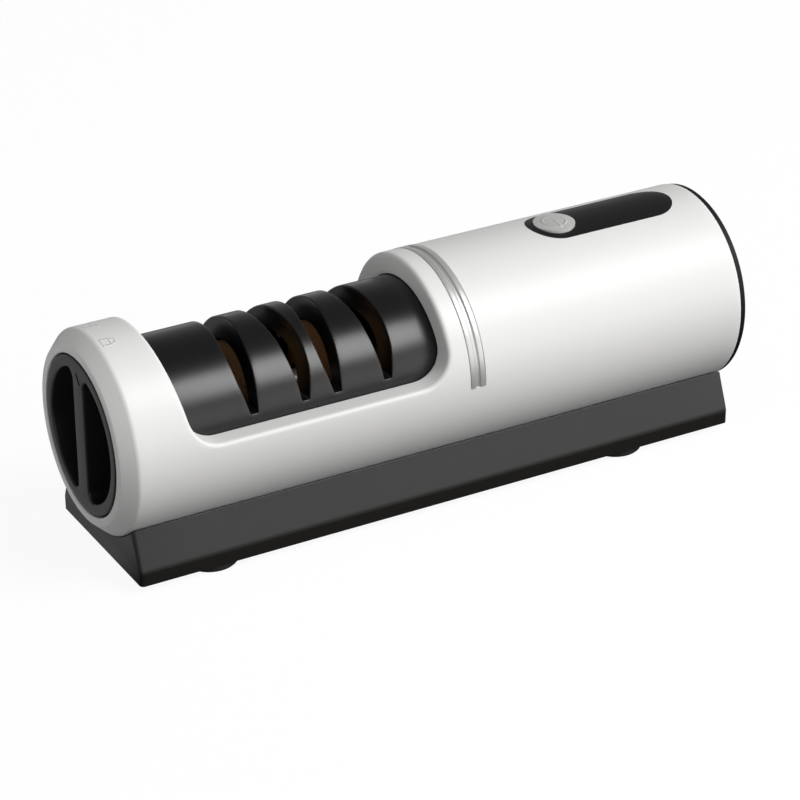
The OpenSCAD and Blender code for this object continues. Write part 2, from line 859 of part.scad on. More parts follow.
// Half sleeve under the cartridge, with ribs to the housing and pads for two body screws
module cartridge_cradle() {
    cradle_x = hollow_full_x;
    cradle_l = cradle_x1 - cradle_x;
    cradle_r = bore_r + cradle_t;
    color([0.9, 0.9, 0.89]) difference() {
        union() {
            section(cradle_x, cradle_l) ring(cradle_r, bore_r);
            for (share = cradle_rib_shares)
                section(cradle_x + share * cradle_l - cradle_rib_t / 2, cradle_rib_t) ring(fill_r, bore_r);
            for (x = cradle_screw_xs) section(x - cradle_pad_w / 2, cradle_pad_w) intersection() {
                ring(fill_r, bore_r);
                translate([-cradle_pad_w / 2, -fill_r]) square([cradle_pad_w, fill_r]);
            }
        }
        translate([0, -body_r, cradle_top_z]) cube([body_l, body_d, body_r]);
        translate([cart_x - window_gap, -body_r, -bolt_w / 2 - window_gap])
            cube([bolt_t + bolt_side_gap + 2 * window_gap, body_d, body_r]);
        for (x = cradle_screw_xs) body_screw_pilot(x);
    }
}

// Plate across the housing that carries the motor, with a skirt around the can and a foot
module motor_bulkhead() {
    color([0.22, 0.22, 0.22]) difference() {
        union() {
            section(bulkhead_x, bulkhead_t) circle(fill_r);
            section(motor_x, skirt_l) circle(motor_r + seat_gap + skirt_t);
            section(motor_x, bulkhead_foot_l) intersection() {
                circle(fill_r);
                translate([-bulkhead_foot_w / 2, -fill_r]) square([bulkhead_foot_w, bulkhead_foot_h]);
            }
        }
        section(motor_x, skirt_l + over) circle(motor_r + seat_gap);
        section(bulkhead_x - over, bulkhead_t + 2 * over) {
            circle(motor_boss_r + seat_gap);
            at_motor_screws() circle(screw_r + seat_gap);
        }
        section(bulkhead_x - over, screw_head_h + seat_gap + over) at_motor_screws()
            circle(screw_head_r + seat_gap);
        body_screw_pilot(bulkhead_screw_x);
    }
}

module at_motor_screws() {
    for (side = [-1, 1]) translate([0, side * motor_screw_z]) children();
}

module motor_screws() {
    color([0.7, 0.7, 0.68]) for (side = [-1, 1])
        translate([bulkhead_x + screw_head_h + seat_gap, 0, side * motor_screw_z])
            rotate([0, 90, 0]) screw(motor_screw_l);
}

module motor_can() {
    color([0.68, 0.68, 0.66]) difference() {
        union() {
            section(motor_x, motor_l) circle(motor_r);
            section(motor_x - motor_boss_l, motor_boss_l + motor_face_t) circle(motor_boss_r);
        }
        section(motor_x + motor_face_t, motor_l) circle(motor_r - motor_wall_t);
        section(motor_x - motor_boss_l - over, motor_boss_l + motor_face_t + 2 * over)
            circle(motor_bush_r + snug_gap);
        section(motor_x - over, motor_face_t + 2 * over) at_motor_screws() circle(screw_r + snug_gap);
    }
}

module motor_magnets() {
    magnet_r = motor_r - motor_wall_t - snug_gap;
    color([0.12, 0.12, 0.13]) section(armature_x, armature_l) intersection() {
        ring(magnet_r, magnet_r - magnet_t);
        rotate(90) wedges(magnet_r, magnet_angle);
    }
}

armature_r = motor_r - motor_wall_t - snug_gap - magnet_t - air_gap;

// Laminated armature with three slots for the coils
module motor_armature() {
    color([0.45, 0.45, 0.46]) section(armature_x, armature_l) difference() {
        circle(armature_r);
        circle(motor_shaft_r + snug_gap);
        for (a = [0, 120, 240]) rotate(a) translate([coil_in_r, -pole_slot_w / 2])
            square([armature_r, pole_slot_w]);
    }
}

// Copper coils: a run in each slot joined by a ring of end turns at both ends
module motor_windings() {
    coil_r = armature_r - coil_end_l / 2;
    color([0.72, 0.4, 0.2]) {
        for (x = [armature_x - coil_end_l, armature_x + armature_l])
            section(x, coil_end_l) ring(coil_r, coil_in_r);
        for (a = [0, 120, 240]) section(armature_x - snug_gap, armature_l + 2 * snug_gap) rotate(a)
            translate([coil_in_r + snug_gap, -coil_wall_t / 2])
                square([coil_r - coil_in_r - part_gap, coil_wall_t]);
    }
}

module motor_commutator() {
    x = armature_x + armature_l + coil_end_l + part_gap;
    color([0.75, 0.45, 0.25]) section(x, commutator_l) difference() {
        ring(commutator_r, motor_shaft_r + snug_gap);
        for (a = [0, 120, 240]) rotate(a)
            translate([(motor_shaft_r + commutator_r) / 2, -commutator_slit_w / 2])
                square([commutator_r, commutator_slit_w]);
    }
}

module motor_terminal_outline(grow) {
    for (side = [-1, 1]) translate([side * terminal_y, terminal_z])
        square([terminal_w + 2 * grow, terminal_t + 2 * grow], center = true);
}

module motor_end_bell() {
    x = motor_x + motor_l;
    color([0.85, 0.84, 0.8]) difference() {
        union() {
            section(x - bell_inside_l, bell_inside_l + bell_flange_t)
                circle(motor_r - motor_wall_t - snug_gap);
            section(x, bell_flange_t) circle(motor_r);
        }
        section(x - bell_inside_l - over, bell_inside_l + bell_flange_t + 2 * over) {
            circle(motor_bush_r + snug_gap);
            motor_terminal_outline(snug_gap);
        }
    }
}

module motor_terminals() {
    color([0.8, 0.65, 0.3]) section(bell_x1 - bell_inside_l, bell_inside_l + terminal_l)
        motor_terminal_outline(0);
}

module motor_bushes() {
    color([0.7, 0.5, 0.25]) {
        section(motor_x - motor_boss_l, motor_boss_l + motor_face_t)
            ring(motor_bush_r, motor_shaft_r + run_gap);
        section(bell_x1 - bell_flange_t - bell_inside_l, bell_inside_l + bell_flange_t)
            ring(motor_bush_r, motor_shaft_r + run_gap);
    }
}

module motor_shaft() {
    x = drive_disc_x - jaw_l + coupling_gap;
    color([0.75, 0.75, 0.76]) section(x, bell_x1 + seat_gap - x) circle(motor_shaft_r);
}

// Two jaws of a drive coupling
module jaws_outline() {
    intersection() {
        ring(coupling_r, coupling_hub_r + part_gap);
        wedges(coupling_r, jaw_angle);
    }
}

module drive_coupling() {
    color([0.82, 0.8, 0.74]) {
        section(drive_disc_x, coupling_disc_t) ring(coupling_r, motor_shaft_r + snug_gap);
        section(drive_disc_x - jaw_l + coupling_gap, jaw_l - coupling_gap + coupling_disc_t)
            ring(coupling_hub_r, motor_shaft_r + snug_gap);
        section(drive_disc_x - jaw_l, jaw_l + coupling_disc_t) jaws_outline();
    }
}

module driven_coupling() {
    color([0.82, 0.8, 0.74]) {
        section(driven_disc_x, coupling_disc_t) ring(coupling_r, shaft_r + snug_gap);
        section(driven_disc_x, coupling_disc_t + jaw_l) rotate(90) jaws_outline();
    }
}

// Steel shaft with a groove for each clip
module wheel_shaft() {
    color([0.78, 0.78, 0.8]) difference() {
        section(shaft_x, shaft_x1 - shaft_x) circle(shaft_r);
        for (x = [left_clip_x, right_clip_x]) section(x - snug_gap, clip_t + 2 * snug_gap)
            ring(shaft_r + over, shaft_r - clip_groove);
    }
}

// Open retaining clip around a shaft's groove
module clip_outline(r) {
    difference() {
        ring(r + clip_wall_t, r - clip_groove + snug_gap);
        translate([-r, 0]) square([2 * r, r + clip_wall_t + over]);
    }
}

module shaft_clips() {
    color([0.35, 0.35, 0.36]) for (x = [left_clip_x, right_clip_x]) section(x, clip_t) clip_outline(shaft_r);
}

module knob_clip() {
    color([0.35, 0.35, 0.36]) section(cart_x + cart_left_wall_t + part_gap, clip_t) clip_outline(cam_hub_r);
}

module shaft_spacers() {
    starts = [left_clip_x + clip_t, first_wheel_x + hub_half, second_wheel_x + hub_half];
    ends = [first_wheel_x - hub_half, second_wheel_x - hub_half, right_clip_x];
    color([0.6, 0.6, 0.62]) for (i = [0 : 2])
        section(starts[i] + snug_gap, ends[i] - starts[i] - 2 * snug_gap)
            ring(shaft_r + spacer_t, shaft_r + snug_gap);
}

module wheel_hub(x) {
    color([0.25, 0.25, 0.26]) section(x - hub_half, 2 * hub_half) ring(hub_r, shaft_r + snug_gap);
}

// Abrasive wheel with a sloping grinding face on each side
module wheel(x) {
    turned([
        [x - wheel_hub_half, hub_r + snug_gap],
        [x - wheel_rim_w / 2, wheel_r],
        [x + wheel_rim_w / 2, wheel_r],
        [x + wheel_hub_half, hub_r + snug_gap]
    ]);
}

module coarse_hub() {
    wheel_hub(first_wheel_x);
}

module coarse_wheel() {
    color([0.55, 0.36, 0.2]) wheel(first_wheel_x);
}

module fine_hub() {
    wheel_hub(second_wheel_x);
}

module fine_wheel() {
    color([0.5, 0.33, 0.2]) wheel(second_wheel_x);
}

module bush(x) {
    color([0.7, 0.5, 0.25]) section(x, bearing_wall_t) ring(bush_r, shaft_r + run_gap);
}

module left_bush() {
    bush(left_bearing_x);
}

module right_bush() {
    bush(right_bearing_x);
}

// Outline of a blade slot in X and Z around its middle, with its wheel towards +X, grown all round
module slot_outline(grow) {
    rise = cart_r - slot_floor;
    floor_half = slot_floor_w / 2 + grow;
    last = len(slot_height_shares) - 1;
    function side_point(reach, i) = [reach, slot_floor + slot_height_shares[i] * rise];
    in_side = [for (i = [0 : last]) side_point(slot_in_w * slot_in_shares[i] + grow, i)];
    out_side = [for (i = [last : -1 : 0]) side_point(-slot_out_w * slot_out_shares[i] - grow, i)];
    polygon(concat(
        [[-floor_half, slot_floor - grow], [floor_half, slot_floor - grow]],
        in_side,
        [[slot_in_w + grow, cart_r + over], [-slot_out_w * slot_out_shares[last] - grow, cart_r + over]],
        out_side
    ));
}

// The four slots, each turned about its floor's middle at the front
module blade_slots(grow) {
    floor_y = -sqrt(pow(cart_r, 2) - pow(slot_floor, 2));
    for (wheel_x = [first_wheel_x, second_wheel_x]) for (side = [0, 1])
        translate([wheel_x, 0, 0]) mirror([side, 0, 0]) translate([-slot_offset, floor_y, 0])
            rotate(-slot_turn) translate([0, -floor_y, 0]) across() slot_outline(grow);
}

module at_cartridge_screws() {
    xs = [chamber_x + screw_boss_r + wall_t, right_bearing_x - screw_boss_r - part_gap];
    for (x = xs) for (side = [-1, 1]) translate([x, side * (cart_r - cart_boss_inset), 0]) children();
}

// Cartridge before it is split: round wall, left wall, two bearing walls and open right end
module cartridge_solid() {
    bolt_room_w = bolt_w + 2 * seat_gap;
    difference() {
        section(cart_x, cart_x1 - cart_x) circle(cart_r);
        section(cart_x + cart_left_wall_t, knob_room_l) circle(cart_inner_r);
        section(chamber_x, right_bearing_x - chamber_x) circle(cart_inner_r);
        section(right_bearing_x + bearing_wall_t, cart_x1) circle(cart_inner_r);
        section(cart_x - over, cart_left_wall_t + 2 * over) circle(cam_hub_r + run_gap);
        for (x = [left_bearing_x, right_bearing_x])
            section(x - over, bearing_wall_t + 2 * over) circle(bush_r + snug_gap);
        for (side = [-1, 1])
            translate([cart_x - over, side > 0 ? bolt_in_y - part_gap : -body_r, -bolt_room_w / 2])
                cube([bolt_t + 2 * bolt_side_gap + over, body_r - bolt_in_y + part_gap, bolt_room_w]);
    }
}

module upper_half() {
    translate([0, -body_r, 0]) cube([cart_x1 + over, body_d, body_r]);
}

module lower_half() {
    translate([0, -body_r, -body_r]) cube([cart_x1 + over, body_d, body_r]);
}

// Upper half of the cartridge with the four blade slots and their guide walls
module cartridge_top() {
    color([0.09, 0.09, 0.09]) difference() {
        union() {
            intersection() {
                cartridge_solid();
                upper_half();
            }
            intersection() {
                section(chamber_x, right_bearing_x - chamber_x) ring(cart_r, guide_r);
                blade_slots(guide_t);
            }
            intersection() {
                at_cartridge_screws() cylinder(r = screw_boss_r, h = cart_boss_h);
                section(chamber_x, right_bearing_x - chamber_x) circle(cart_r);
            }
        }
        blade_slots(0);
        at_cartridge_screws() translate([0, 0, -over])
            cylinder(r = screw_r + snug_gap, h = cart_boss_h + over - seat_gap);
    }
}

// Lower half of the cartridge, which catches the grinding dust
module cartridge_tray() {
    color([0.11, 0.11, 0.11]) difference() {
        union() {
            intersection() {
                cartridge_solid();
                lower_half();
            }
            intersection() {
                at_cartridge_screws() translate([0, 0, -cart_r]) cylinder(r = screw_boss_r, h = cart_r);
                section(chamber_x, right_bearing_x - chamber_x) circle(cart_r);
            }
        }
        at_cartridge_screws() translate([0, 0, -cart_r - over]) {
            cylinder(r = screw_r + seat_gap, h = cart_r + 2 * over);
            cylinder(r = screw_head_r + seat_gap, h = cart_r + over - cart_clamp_h);
        }
    }
}

module cartridge_screws() {
    color([0.7, 0.7, 0.68]) at_cartridge_screws() translate([0, 0, -cart_clamp_h])
        screw(cart_clamp_h + cart_boss_h - 2 * part_gap);
}

// Outline of one finger recess with rounded corners, grown all round, on the +Y side
module recess_outline(grow) {
    r = recess_r + grow;
    corner_r = recess_corner_r + grow;
    edge_y = grip_w / 2 - grow;
    corner_y = edge_y + corner_r;
    corner_z = sqrt(pow(r - corner_r, 2) - pow(corner_y, 2));
    intersection() {
        circle(r);
        translate([edge_y, -corner_z]) square([r, 2 * corner_z]);
    }
    intersection() {
        circle(r);
        translate([corner_y, -r]) square([r, 2 * r]);
        polygon([
            [0, 0],
            [2 * corner_y, -2 * corner_z],
            [2 * r, -2 * corner_z],
            [2 * r, 2 * corner_z],
            [2 * corner_y, 2 * corner_z]
        ]);
    }
    for (side = [-1, 1]) translate([corner_y, side * corner_z]) circle(corner_r);
}

module recess_outlines(grow) {
    for (turn = [0, 180]) rotate(turn) recess_outline(grow);
}

module at_cam_screws() {
    for (side = [-1, 1]) translate([0, side * cam_screw_share * knob_inner_r]) children();
}

// Knob with two deep finger recesses, hollow behind, and a pointer mark on its grip bar
module knob() {
    color([0.26, 0.255, 0.245]) difference() {
        turned([
            [0, 0],
            [0, knob_r - knob_edge],
            [knob_edge, knob_r],
            [knob_l, knob_r],
            [knob_l, 0]
        ]);
        difference() {
            section(knob_face_t, knob_l) circle(knob_inner_r);
            section(0, recess_depth + knob_floor_t) recess_outlines(cup_t);
            section(0, knob_l - cam_t) at_cam_screws() circle(screw_boss_r - snug_gap);
        }
        section(-over, recess_depth + over) recess_outlines(0);
        section(knob_l - cam_t - cam_screw_l - seat_gap, cam_screw_l + over) at_cam_screws()
            circle(screw_r + snug_gap);
        translate([-over, 0, pointer_z_share * recess_r]) rotate([pointer_lean, 0, 0])
            translate([0, -pointer_w / 2, -pointer_l / 2]) cube([over + pointer_depth, pointer_w, pointer_l]);
    }
}

// Disc in the knob's back whose two slanting slots push the latch bolts out, with the
// hub that turns in the cartridge's left wall
module latch_cam() {
    hub_x1 = cart_x + cart_left_wall_t + part_gap + clip_t + 2 * over;
    cam_x = knob_l - cam_t;
    color([0.8, 0.78, 0.72]) difference() {
        union() {
            section(cam_x, cam_t) circle(knob_inner_r - seat_gap);
            section(cam_x, hub_x1 - cam_x) circle(cam_hub_r);
        }
        section(cam_x - over, cam_t + 2 * over) {
            for (turn = [0, 180]) for (i = [0 : cam_slot_steps]) rotate(turn + lock_turn * i / cam_slot_steps)
                translate([bolt_pin_y + bolt_travel * i / cam_slot_steps, 0]) circle(bolt_pin_r + part_gap);
            at_cam_screws() circle(screw_r + seat_gap);
        }
        section(cam_x + cam_t - screw_slot_depth, over + screw_slot_depth) at_cam_screws()
            circle(screw_head_r + seat_gap);
        section(cart_x + cart_left_wall_t + part_gap - snug_gap, clip_t + 2 * snug_gap)
            ring(cam_hub_r + over, cam_hub_r - clip_groove);
    }
}

module cam_screws() {
    color([0.7, 0.7, 0.68]) for (side = [-1, 1])
        translate([knob_l - screw_slot_depth, 0, side * cam_screw_share * knob_inner_r])
            rotate([0, -90, 0]) difference() {
                screw(cam_screw_l);
                translate([0, 0, -screw_head_h - over])
                    cylinder(r = screw_head_r + over, h = over + screw_head_h - screw_slot_depth);
            }
}

// Bolt that the cam pushes into the housing's cradle to lock the cartridge, on the +Y side
module latch_bolt() {
    x = cart_x + bolt_side_gap;
    pin_x = knob_l - cam_t + part_gap;
    color([0.8, 0.78, 0.72]) {
        translate([x, bolt_in_y, -bolt_w / 2]) cube([bolt_t, cart_r - bolt_tip_gap - bolt_in_y, bolt_w]);
        section(pin_x, x + bolt_t / 2 - pin_x) translate([bolt_pin_y, 0]) circle(bolt_pin_r);
    }
}

module latch_bolt_front() {
    rotate([180, 0, 0]) latch_bolt();
}

module latch_bolt_back() {
    latch_bolt();
}

// Outline of the base's sloping sides in Y and Z, up to where they meet the housing
module base_outline(inset) {
    half = base_half - inset;
    meet = base_meet_half - inset;
    polygon([[-half, lip_z], [-meet, base_meet_z], [meet, base_meet_z], [half, lip_z]]);
}

module at_plate_screws() {
    for (share = plate_screw_shares) for (side = [-1, 1])
        translate([base_x + share * base_l, side * plate_screw_y, 0]) children();
}

// Dark base shell: sloping sides, a trough that the housing lies in, and screw bosses
module base_shell() {
    color([0.27, 0.27, 0.26]) difference() {
        union() {
            difference() {
                section(base_x, base_l) base_outline(0);
                section(base_x + base_t, base_l - 2 * base_t) difference() {
                    base_outline(base_t);
                    circle(base_fit_r + base_t);
                }
                translate([base_x + base_t, base_t - base_half, lip_z - over])
                    cube([base_l - 2 * base_t, base_w - 2 * base_t, over + snug_gap]);
            }
            intersection() {
                at_plate_screws() translate([0, 0, base_boss_z]) cylinder(r = screw_boss_r, h = base_drop);
                section(base_x, base_l) difference() {
                    translate([-base_half, base_boss_z]) square([base_w, base_drop]);
                    circle(base_fit_r + base_t / 2);
                }
            }
        }
        section(base_x - over, base_l + 2 * over) circle(base_fit_r);
        at_plate_screws() translate([0, 0, base_boss_z - over])
            cylinder(r = screw_r + snug_gap, h = plate_screw_l + over);
        for (x = body_screw_xs) translate([x, 0, -base_drop]) cylinder(r = screw_r + seat_gap, h = base_drop);
    }
}

module body_screws() {
    color([0.7, 0.7, 0.68]) for (x = body_screw_xs) translate([x, 0, body_screw_z]) screw(body_screw_l);
}

// Round-cornered outline of the base in X and Y, set in all round
module plate_outline(inset, corner_r) {
    half = base_half - inset;
    for (x = [base_x + inset + corner_r, base_x1 - inset - corner_r]) for (side = [-1, 1])
        translate([x, side * (half - corner_r)]) circle(corner_r);
    translate([base_x + inset + corner_r, -half]) square([base_l - 2 * inset - 2 * corner_r, 2 * half]);
    translate([base_x + inset, corner_r - half]) square([base_l - 2 * inset, 2 * half - 2 * corner_r]);
}

// Black bottom plate with its upright lip all round
module base_plate() {
    color([0.07, 0.07, 0.07]) difference() {
        translate([0, 0, -base_drop]) linear_extrude(lip_h) plate_outline(0, plate_corner_r);
        translate([0, 0, base_boss_z]) linear_extrude(lip_h) plate_outline(base_t, plate_corner_r);
        at_plate_screws() translate([0, 0, -base_drop - over]) {
            cylinder(r = screw_r + seat_gap, h = plate_t + 2 * over);
            cylinder(r = screw_head_r + seat_gap, h = screw_slot_depth + over);
        }
    }
}

module base_plate_screws() {
    color([0.7, 0.7, 0.68]) at_plate_screws() translate([0, 0, screw_slot_depth - base_drop]) difference() {
        screw(plate_screw_l);
        translate([0, 0, -screw_head_h - over])
            cylinder(r = screw_head_r + over, h = over + screw_head_h - screw_slot_depth);
    }
}

// Rubber foot with a rounded edge under the bottom plate
module foot(x, side) {
    foot_r = foot_d / 2;
    color([0.05, 0.05, 0.05]) translate([x, side * foot_y, -base_drop - foot_h]) rotate_extrude() polygon([
        [0, 0],
        [foot_r - foot_edge, 0],
        [foot_r, foot_edge],
        [foot_r, foot_h],
        [0, foot_h]
    ]);
}

module foot_left_front() {
    foot(left_foot_x, -1);
}

module foot_left_back() {
    foot(left_foot_x, 1);
}

module foot_right_front() {
    foot(total_l - right_foot_x, -1);
}

module foot_right_back() {
    foot(total_l - right_foot_x, 1);
}

placed() housing();
placed() trim_band();
placed() end_cap();
placed() end_cap_screws();
placed() top_panel();
placed() cartridge_cradle();
placed() motor_bulkhead();
placed() body_screws();
placed() base_shell();
placed() base_plate();
placed() base_plate_screws();
placed() foot_left_front();
placed() foot_left_back();
placed() foot_right_front();
placed() foot_right_back();
placed() motor_can();
placed() motor_magnets();
placed() motor_end_bell();
placed() motor_terminals();
placed() motor_bushes();
placed() motor_screws();
placed() motor_shaft();
placed() motor_armature();
placed() motor_windings();
placed() motor_commutator();
placed() drive_coupling();
placed() electronics_tray();
placed() cell_front();
placed() cell_back();
placed() cell_strips();
placed() control_board();
placed() board_screws();
placed() tact_switch();
placed() button_spring();
placed() power_button();
placed() charge_board();
placed() charge_port();
placed() motor_leads();
placed() cell_leads();
placed() charge_leads();
placed() cartridge_top();
placed() cartridge_tray();
placed() cartridge_screws();
placed() left_bush();
placed() right_bush();
placed() wheel_shaft();
placed() coarse_hub();
placed() coarse_wheel();
placed() fine_hub();
placed() fine_wheel();
placed() shaft_spacers();
placed() shaft_clips();
placed() driven_coupling();
placed() knob();
placed() latch_cam();
placed() cam_screws();
placed() knob_clip();
placed() latch_bolt_front();
placed() latch_bolt_back();
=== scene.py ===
"""Electric knife sharpener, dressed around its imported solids.

Sizes are in millimetres along the housing from the knob's face (x = 0), around the housing's
axis (y = 0, z = 0), with the front towards -y. place() turns them into metres in the part's frame.
Angles around the axis run from the top (0) over the front (90) to the bottom (180).
"""

import json
import math

import bmesh
import bpy
import numpy as np
from mathutils import Matrix, Vector
from mathutils.geometry import tessellate_polygon


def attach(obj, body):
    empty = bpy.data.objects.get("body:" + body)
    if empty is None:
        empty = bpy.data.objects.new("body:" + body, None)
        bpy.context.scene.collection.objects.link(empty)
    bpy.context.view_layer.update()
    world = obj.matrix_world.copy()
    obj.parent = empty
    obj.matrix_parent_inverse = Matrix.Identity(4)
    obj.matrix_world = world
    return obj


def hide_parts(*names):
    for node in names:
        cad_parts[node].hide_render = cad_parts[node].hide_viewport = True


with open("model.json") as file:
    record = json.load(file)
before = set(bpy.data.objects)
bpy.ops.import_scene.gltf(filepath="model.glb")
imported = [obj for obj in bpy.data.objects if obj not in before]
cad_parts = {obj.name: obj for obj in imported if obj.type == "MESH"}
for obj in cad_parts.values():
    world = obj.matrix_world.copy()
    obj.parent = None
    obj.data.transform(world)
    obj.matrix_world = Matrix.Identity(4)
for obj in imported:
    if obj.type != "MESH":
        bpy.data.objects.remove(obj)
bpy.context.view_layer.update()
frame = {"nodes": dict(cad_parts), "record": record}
record = frame["record"]
body_of_node = {n: b for b, nodes in record["behaviour"]["bodies"].items() for n in nodes}
slot_of_node = {s["node"]: s["material_slot"] for s in record["subparts"]}

# Millimetre
MM = 0.001

# Whole part
TOTAL_L = 235.0
AXIS_H = 45.15

# Housing
BODY_R = 34.6
BODY_L = 232.9
WALL_T = 2.6
BORE_R = 27.35
INNER_R = BODY_R - WALL_T
COLLAR_END = 8.0
CHAMFER_L = 4.8
CHAMFER_H = 4.5
CUT_X0 = 20.5
CUT_X1 = 118.2
CUT_FLOOR = 3.9
CUT_CORNER_R = 11.0
CUT_LEAN = math.radians(9)
CUT_EDGE_R = 1.4
BAND_X0 = 125.0
BAND_X1 = 130.7
BAND_DEPTH = 0.9
GAP = 0.1

# Cartridge
CART_X0 = 13.4
CART_X1 = 119.0
CART_R = 27.1
CART_INNER_R = 25.1
CART_LEFT = 30.0
CART_RIGHT = 105.2
GUIDE_R = 19.5
SLOT_FLOOR = 6.9
SLOT_OUT_W = 4.8
SLOT_IN_W = 3.7
SLOT_OFFSET = 9.3
SLOT_TURN = math.radians(3)
SLOT_HEIGHT_SHARES = np.array([0, 0.23, 0.45, 0.85, 1, 1.2])
SLOT_OUT_SHARES = np.array([0.28, 0.51, 0.75, 1, 0.94, 0.85])
SLOT_IN_SHARES = np.array([0.365, 0.45, 0.58, 0.8, 1, 1.3])
WHEEL_XS = (59.0, 89.3)

# Knob
KNOB_R = 26.8
KNOB_L = 13.0
GRIP_HALF = 3.9
RECESS_R = 22.8
RECESS_CORNER_R = 3.0
RECESS_DEPTH = 9.0

# Panel and button
PANEL_X0 = 167.5
PANEL_X1 = 224.0
PANEL_R = 10.25
PANEL_RISE = 0.05
BUTTON_X = 177.75
BUTTON_R = 7.2

# Base
BASE_X0 = 5.4
BASE_X1 = 232.0
BASE_HALF = 30.3
BASE_MEET = 25.2
LIP_Z = -38.25


def place(points):
    """Millimetres around the housing's axis to metres in the part's frame."""
    return (np.asarray(points, float) + (-TOTAL_L / 2, 0, AXIS_H)) * MM


def on_circle(x, angle, radius):
    """Points at x, on a circle around the axis: y = -radius sin(angle), z = radius cos(angle)."""
    return np.stack(np.broadcast_arrays(x, -radius * np.sin(angle), radius * np.cos(angle)), -1)


# Meshes from grids


class Shape:
    """Grids and flat faces gathered into one mesh."""

    def __init__(self):
        self.points = []
        self.faces = []
        self.count = 0

    def add(self, points, faces):
        """Points in any shape that ends in 3, and faces numbered from 0."""
        points = np.asarray(points, float).reshape(-1, 3)
        self.points.append(points)
        self.faces += [tuple(int(c) + self.count for c in face) for face in faces]
        self.count += len(points)

    def grid(self, points, ring=False):
        """Quads between neighbours in a grid of points; ring joins its last row to its first."""
        rows, columns = points.shape[:2]
        i, j = np.meshgrid(np.arange(rows - (not ring)), np.arange(columns - 1), indexing="ij")
        after = (i + 1) % rows
        quads = [i * columns + j, after * columns + j, after * columns + j + 1, i * columns + j + 1]
        self.add(points, np.stack(quads, -1).reshape(-1, 4))

    def both_sides(self, points, ring=False):
        """A grid and its mirror image across the middle plane y = 0."""
        self.grid(points, ring)
        self.grid(points * (1, -1, 1), ring)

    def flat(self, *loops):
        """The flat face inside the first loop of points, with the other loops as holes."""
        loops = [[Vector(p) for p in loop] for loop in loops]
        self.add([p for loop in loops for p in loop], tessellate_polygon(loops))

    def without(self, inside):
        """Drops the faces whose corners all pass a test on their points."""
        keep = inside(np.concatenate(self.points))
        self.faces = [f for f in self.faces if not all(keep[c] for c in f)]


def add_object(name, data):
    """A new object in the scene."""
    made = bpy.data.objects.new(name, data)
    bpy.context.scene.collection.objects.link(made)
    return made


def make_piece(name, shape, node, sharp=32.0):
    """A welded mesh of the shape, in metres, that rides with a node's body and stands for it."""
    mesh = bpy.data.meshes.new(name)
    mesh.from_pydata(place(np.concatenate(shape.points)).tolist(), [], shape.faces)
    bm = bmesh.new()
    bm.from_mesh(mesh)
    bmesh.ops.remove_doubles(bm, verts=bm.verts, dist=4e-6)
    bmesh.ops.dissolve_degenerate(bm, edges=bm.edges, dist=1e-6)
    bmesh.ops.recalc_face_normals(bm, faces=bm.faces)
    limit = math.radians(sharp)
    for face in bm.faces:
        face.smooth = True
    for edge in bm.edges:
        edge.smooth = not edge.is_manifold or edge.calc_face_angle(0) < limit
    bm.to_mesh(mesh)
    bm.free()
    piece = add_object(name, mesh)
    slot = slot_of_node[node]
    mesh.materials.append(finishes[slot])
    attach(piece, body_of_node[node])
    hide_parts(node)


def rounded(points, radii, steps=6):
    """An open line of points with each inner corner turned into an arc that touches both sides:
    the arc starts radius * tan(half the turn) before the corner and ends as far after it."""
    points = np.asarray(points, float)
    out = [points[0]]
    for before, corner, after, radius in zip(points, points[1:], points[2:], radii):
        u, v = before - corner, after - corner
        u, v = u / np.linalg.norm(u), v / np.linalg.norm(v)
        half = math.acos(np.clip(u @ v, -1, 1)) / 2
        if radius == 0 or half > math.pi / 2 - 0.01:
            out.append(corner)
            continue
        middle = (u + v) / np.linalg.norm(u + v)
        centre = corner + middle * radius / math.sin(half)
        start = corner + u * radius / math.tan(half) - centre
        end = corner + v * radius / math.tan(half) - centre
        turn = math.acos(np.clip(start @ end / radius**2, -1, 1))
        for t in np.linspace(0, 1, steps):
            swing = math.sin((1 - t) * turn) * start + math.sin(t * turn) * end
            out.append(centre + swing / math.sin(turn))
    out.append(points[-1])
    return np.array(out)


def turned(profile, angles, inner_angles=None, inner_from=None):
    """A profile of (x, radius) turned through the angles. From point inner_from on, each row
    swings over to inner_angles, so that it meets a skin whose rows lie at other angles."""
    profile = np.asarray(profile, float)
    share = np.zeros(len(profile))
    if inner_angles is not None:
        share[inner_from:] = 1
    else:
        inner_angles = angles
    angle = angles[:, None] * (1 - share) + inner_angles[:, None] * share
    return on_circle(profile[:, 0], angle, profile[:, 1])


# Openings that are cut straight across a round shell


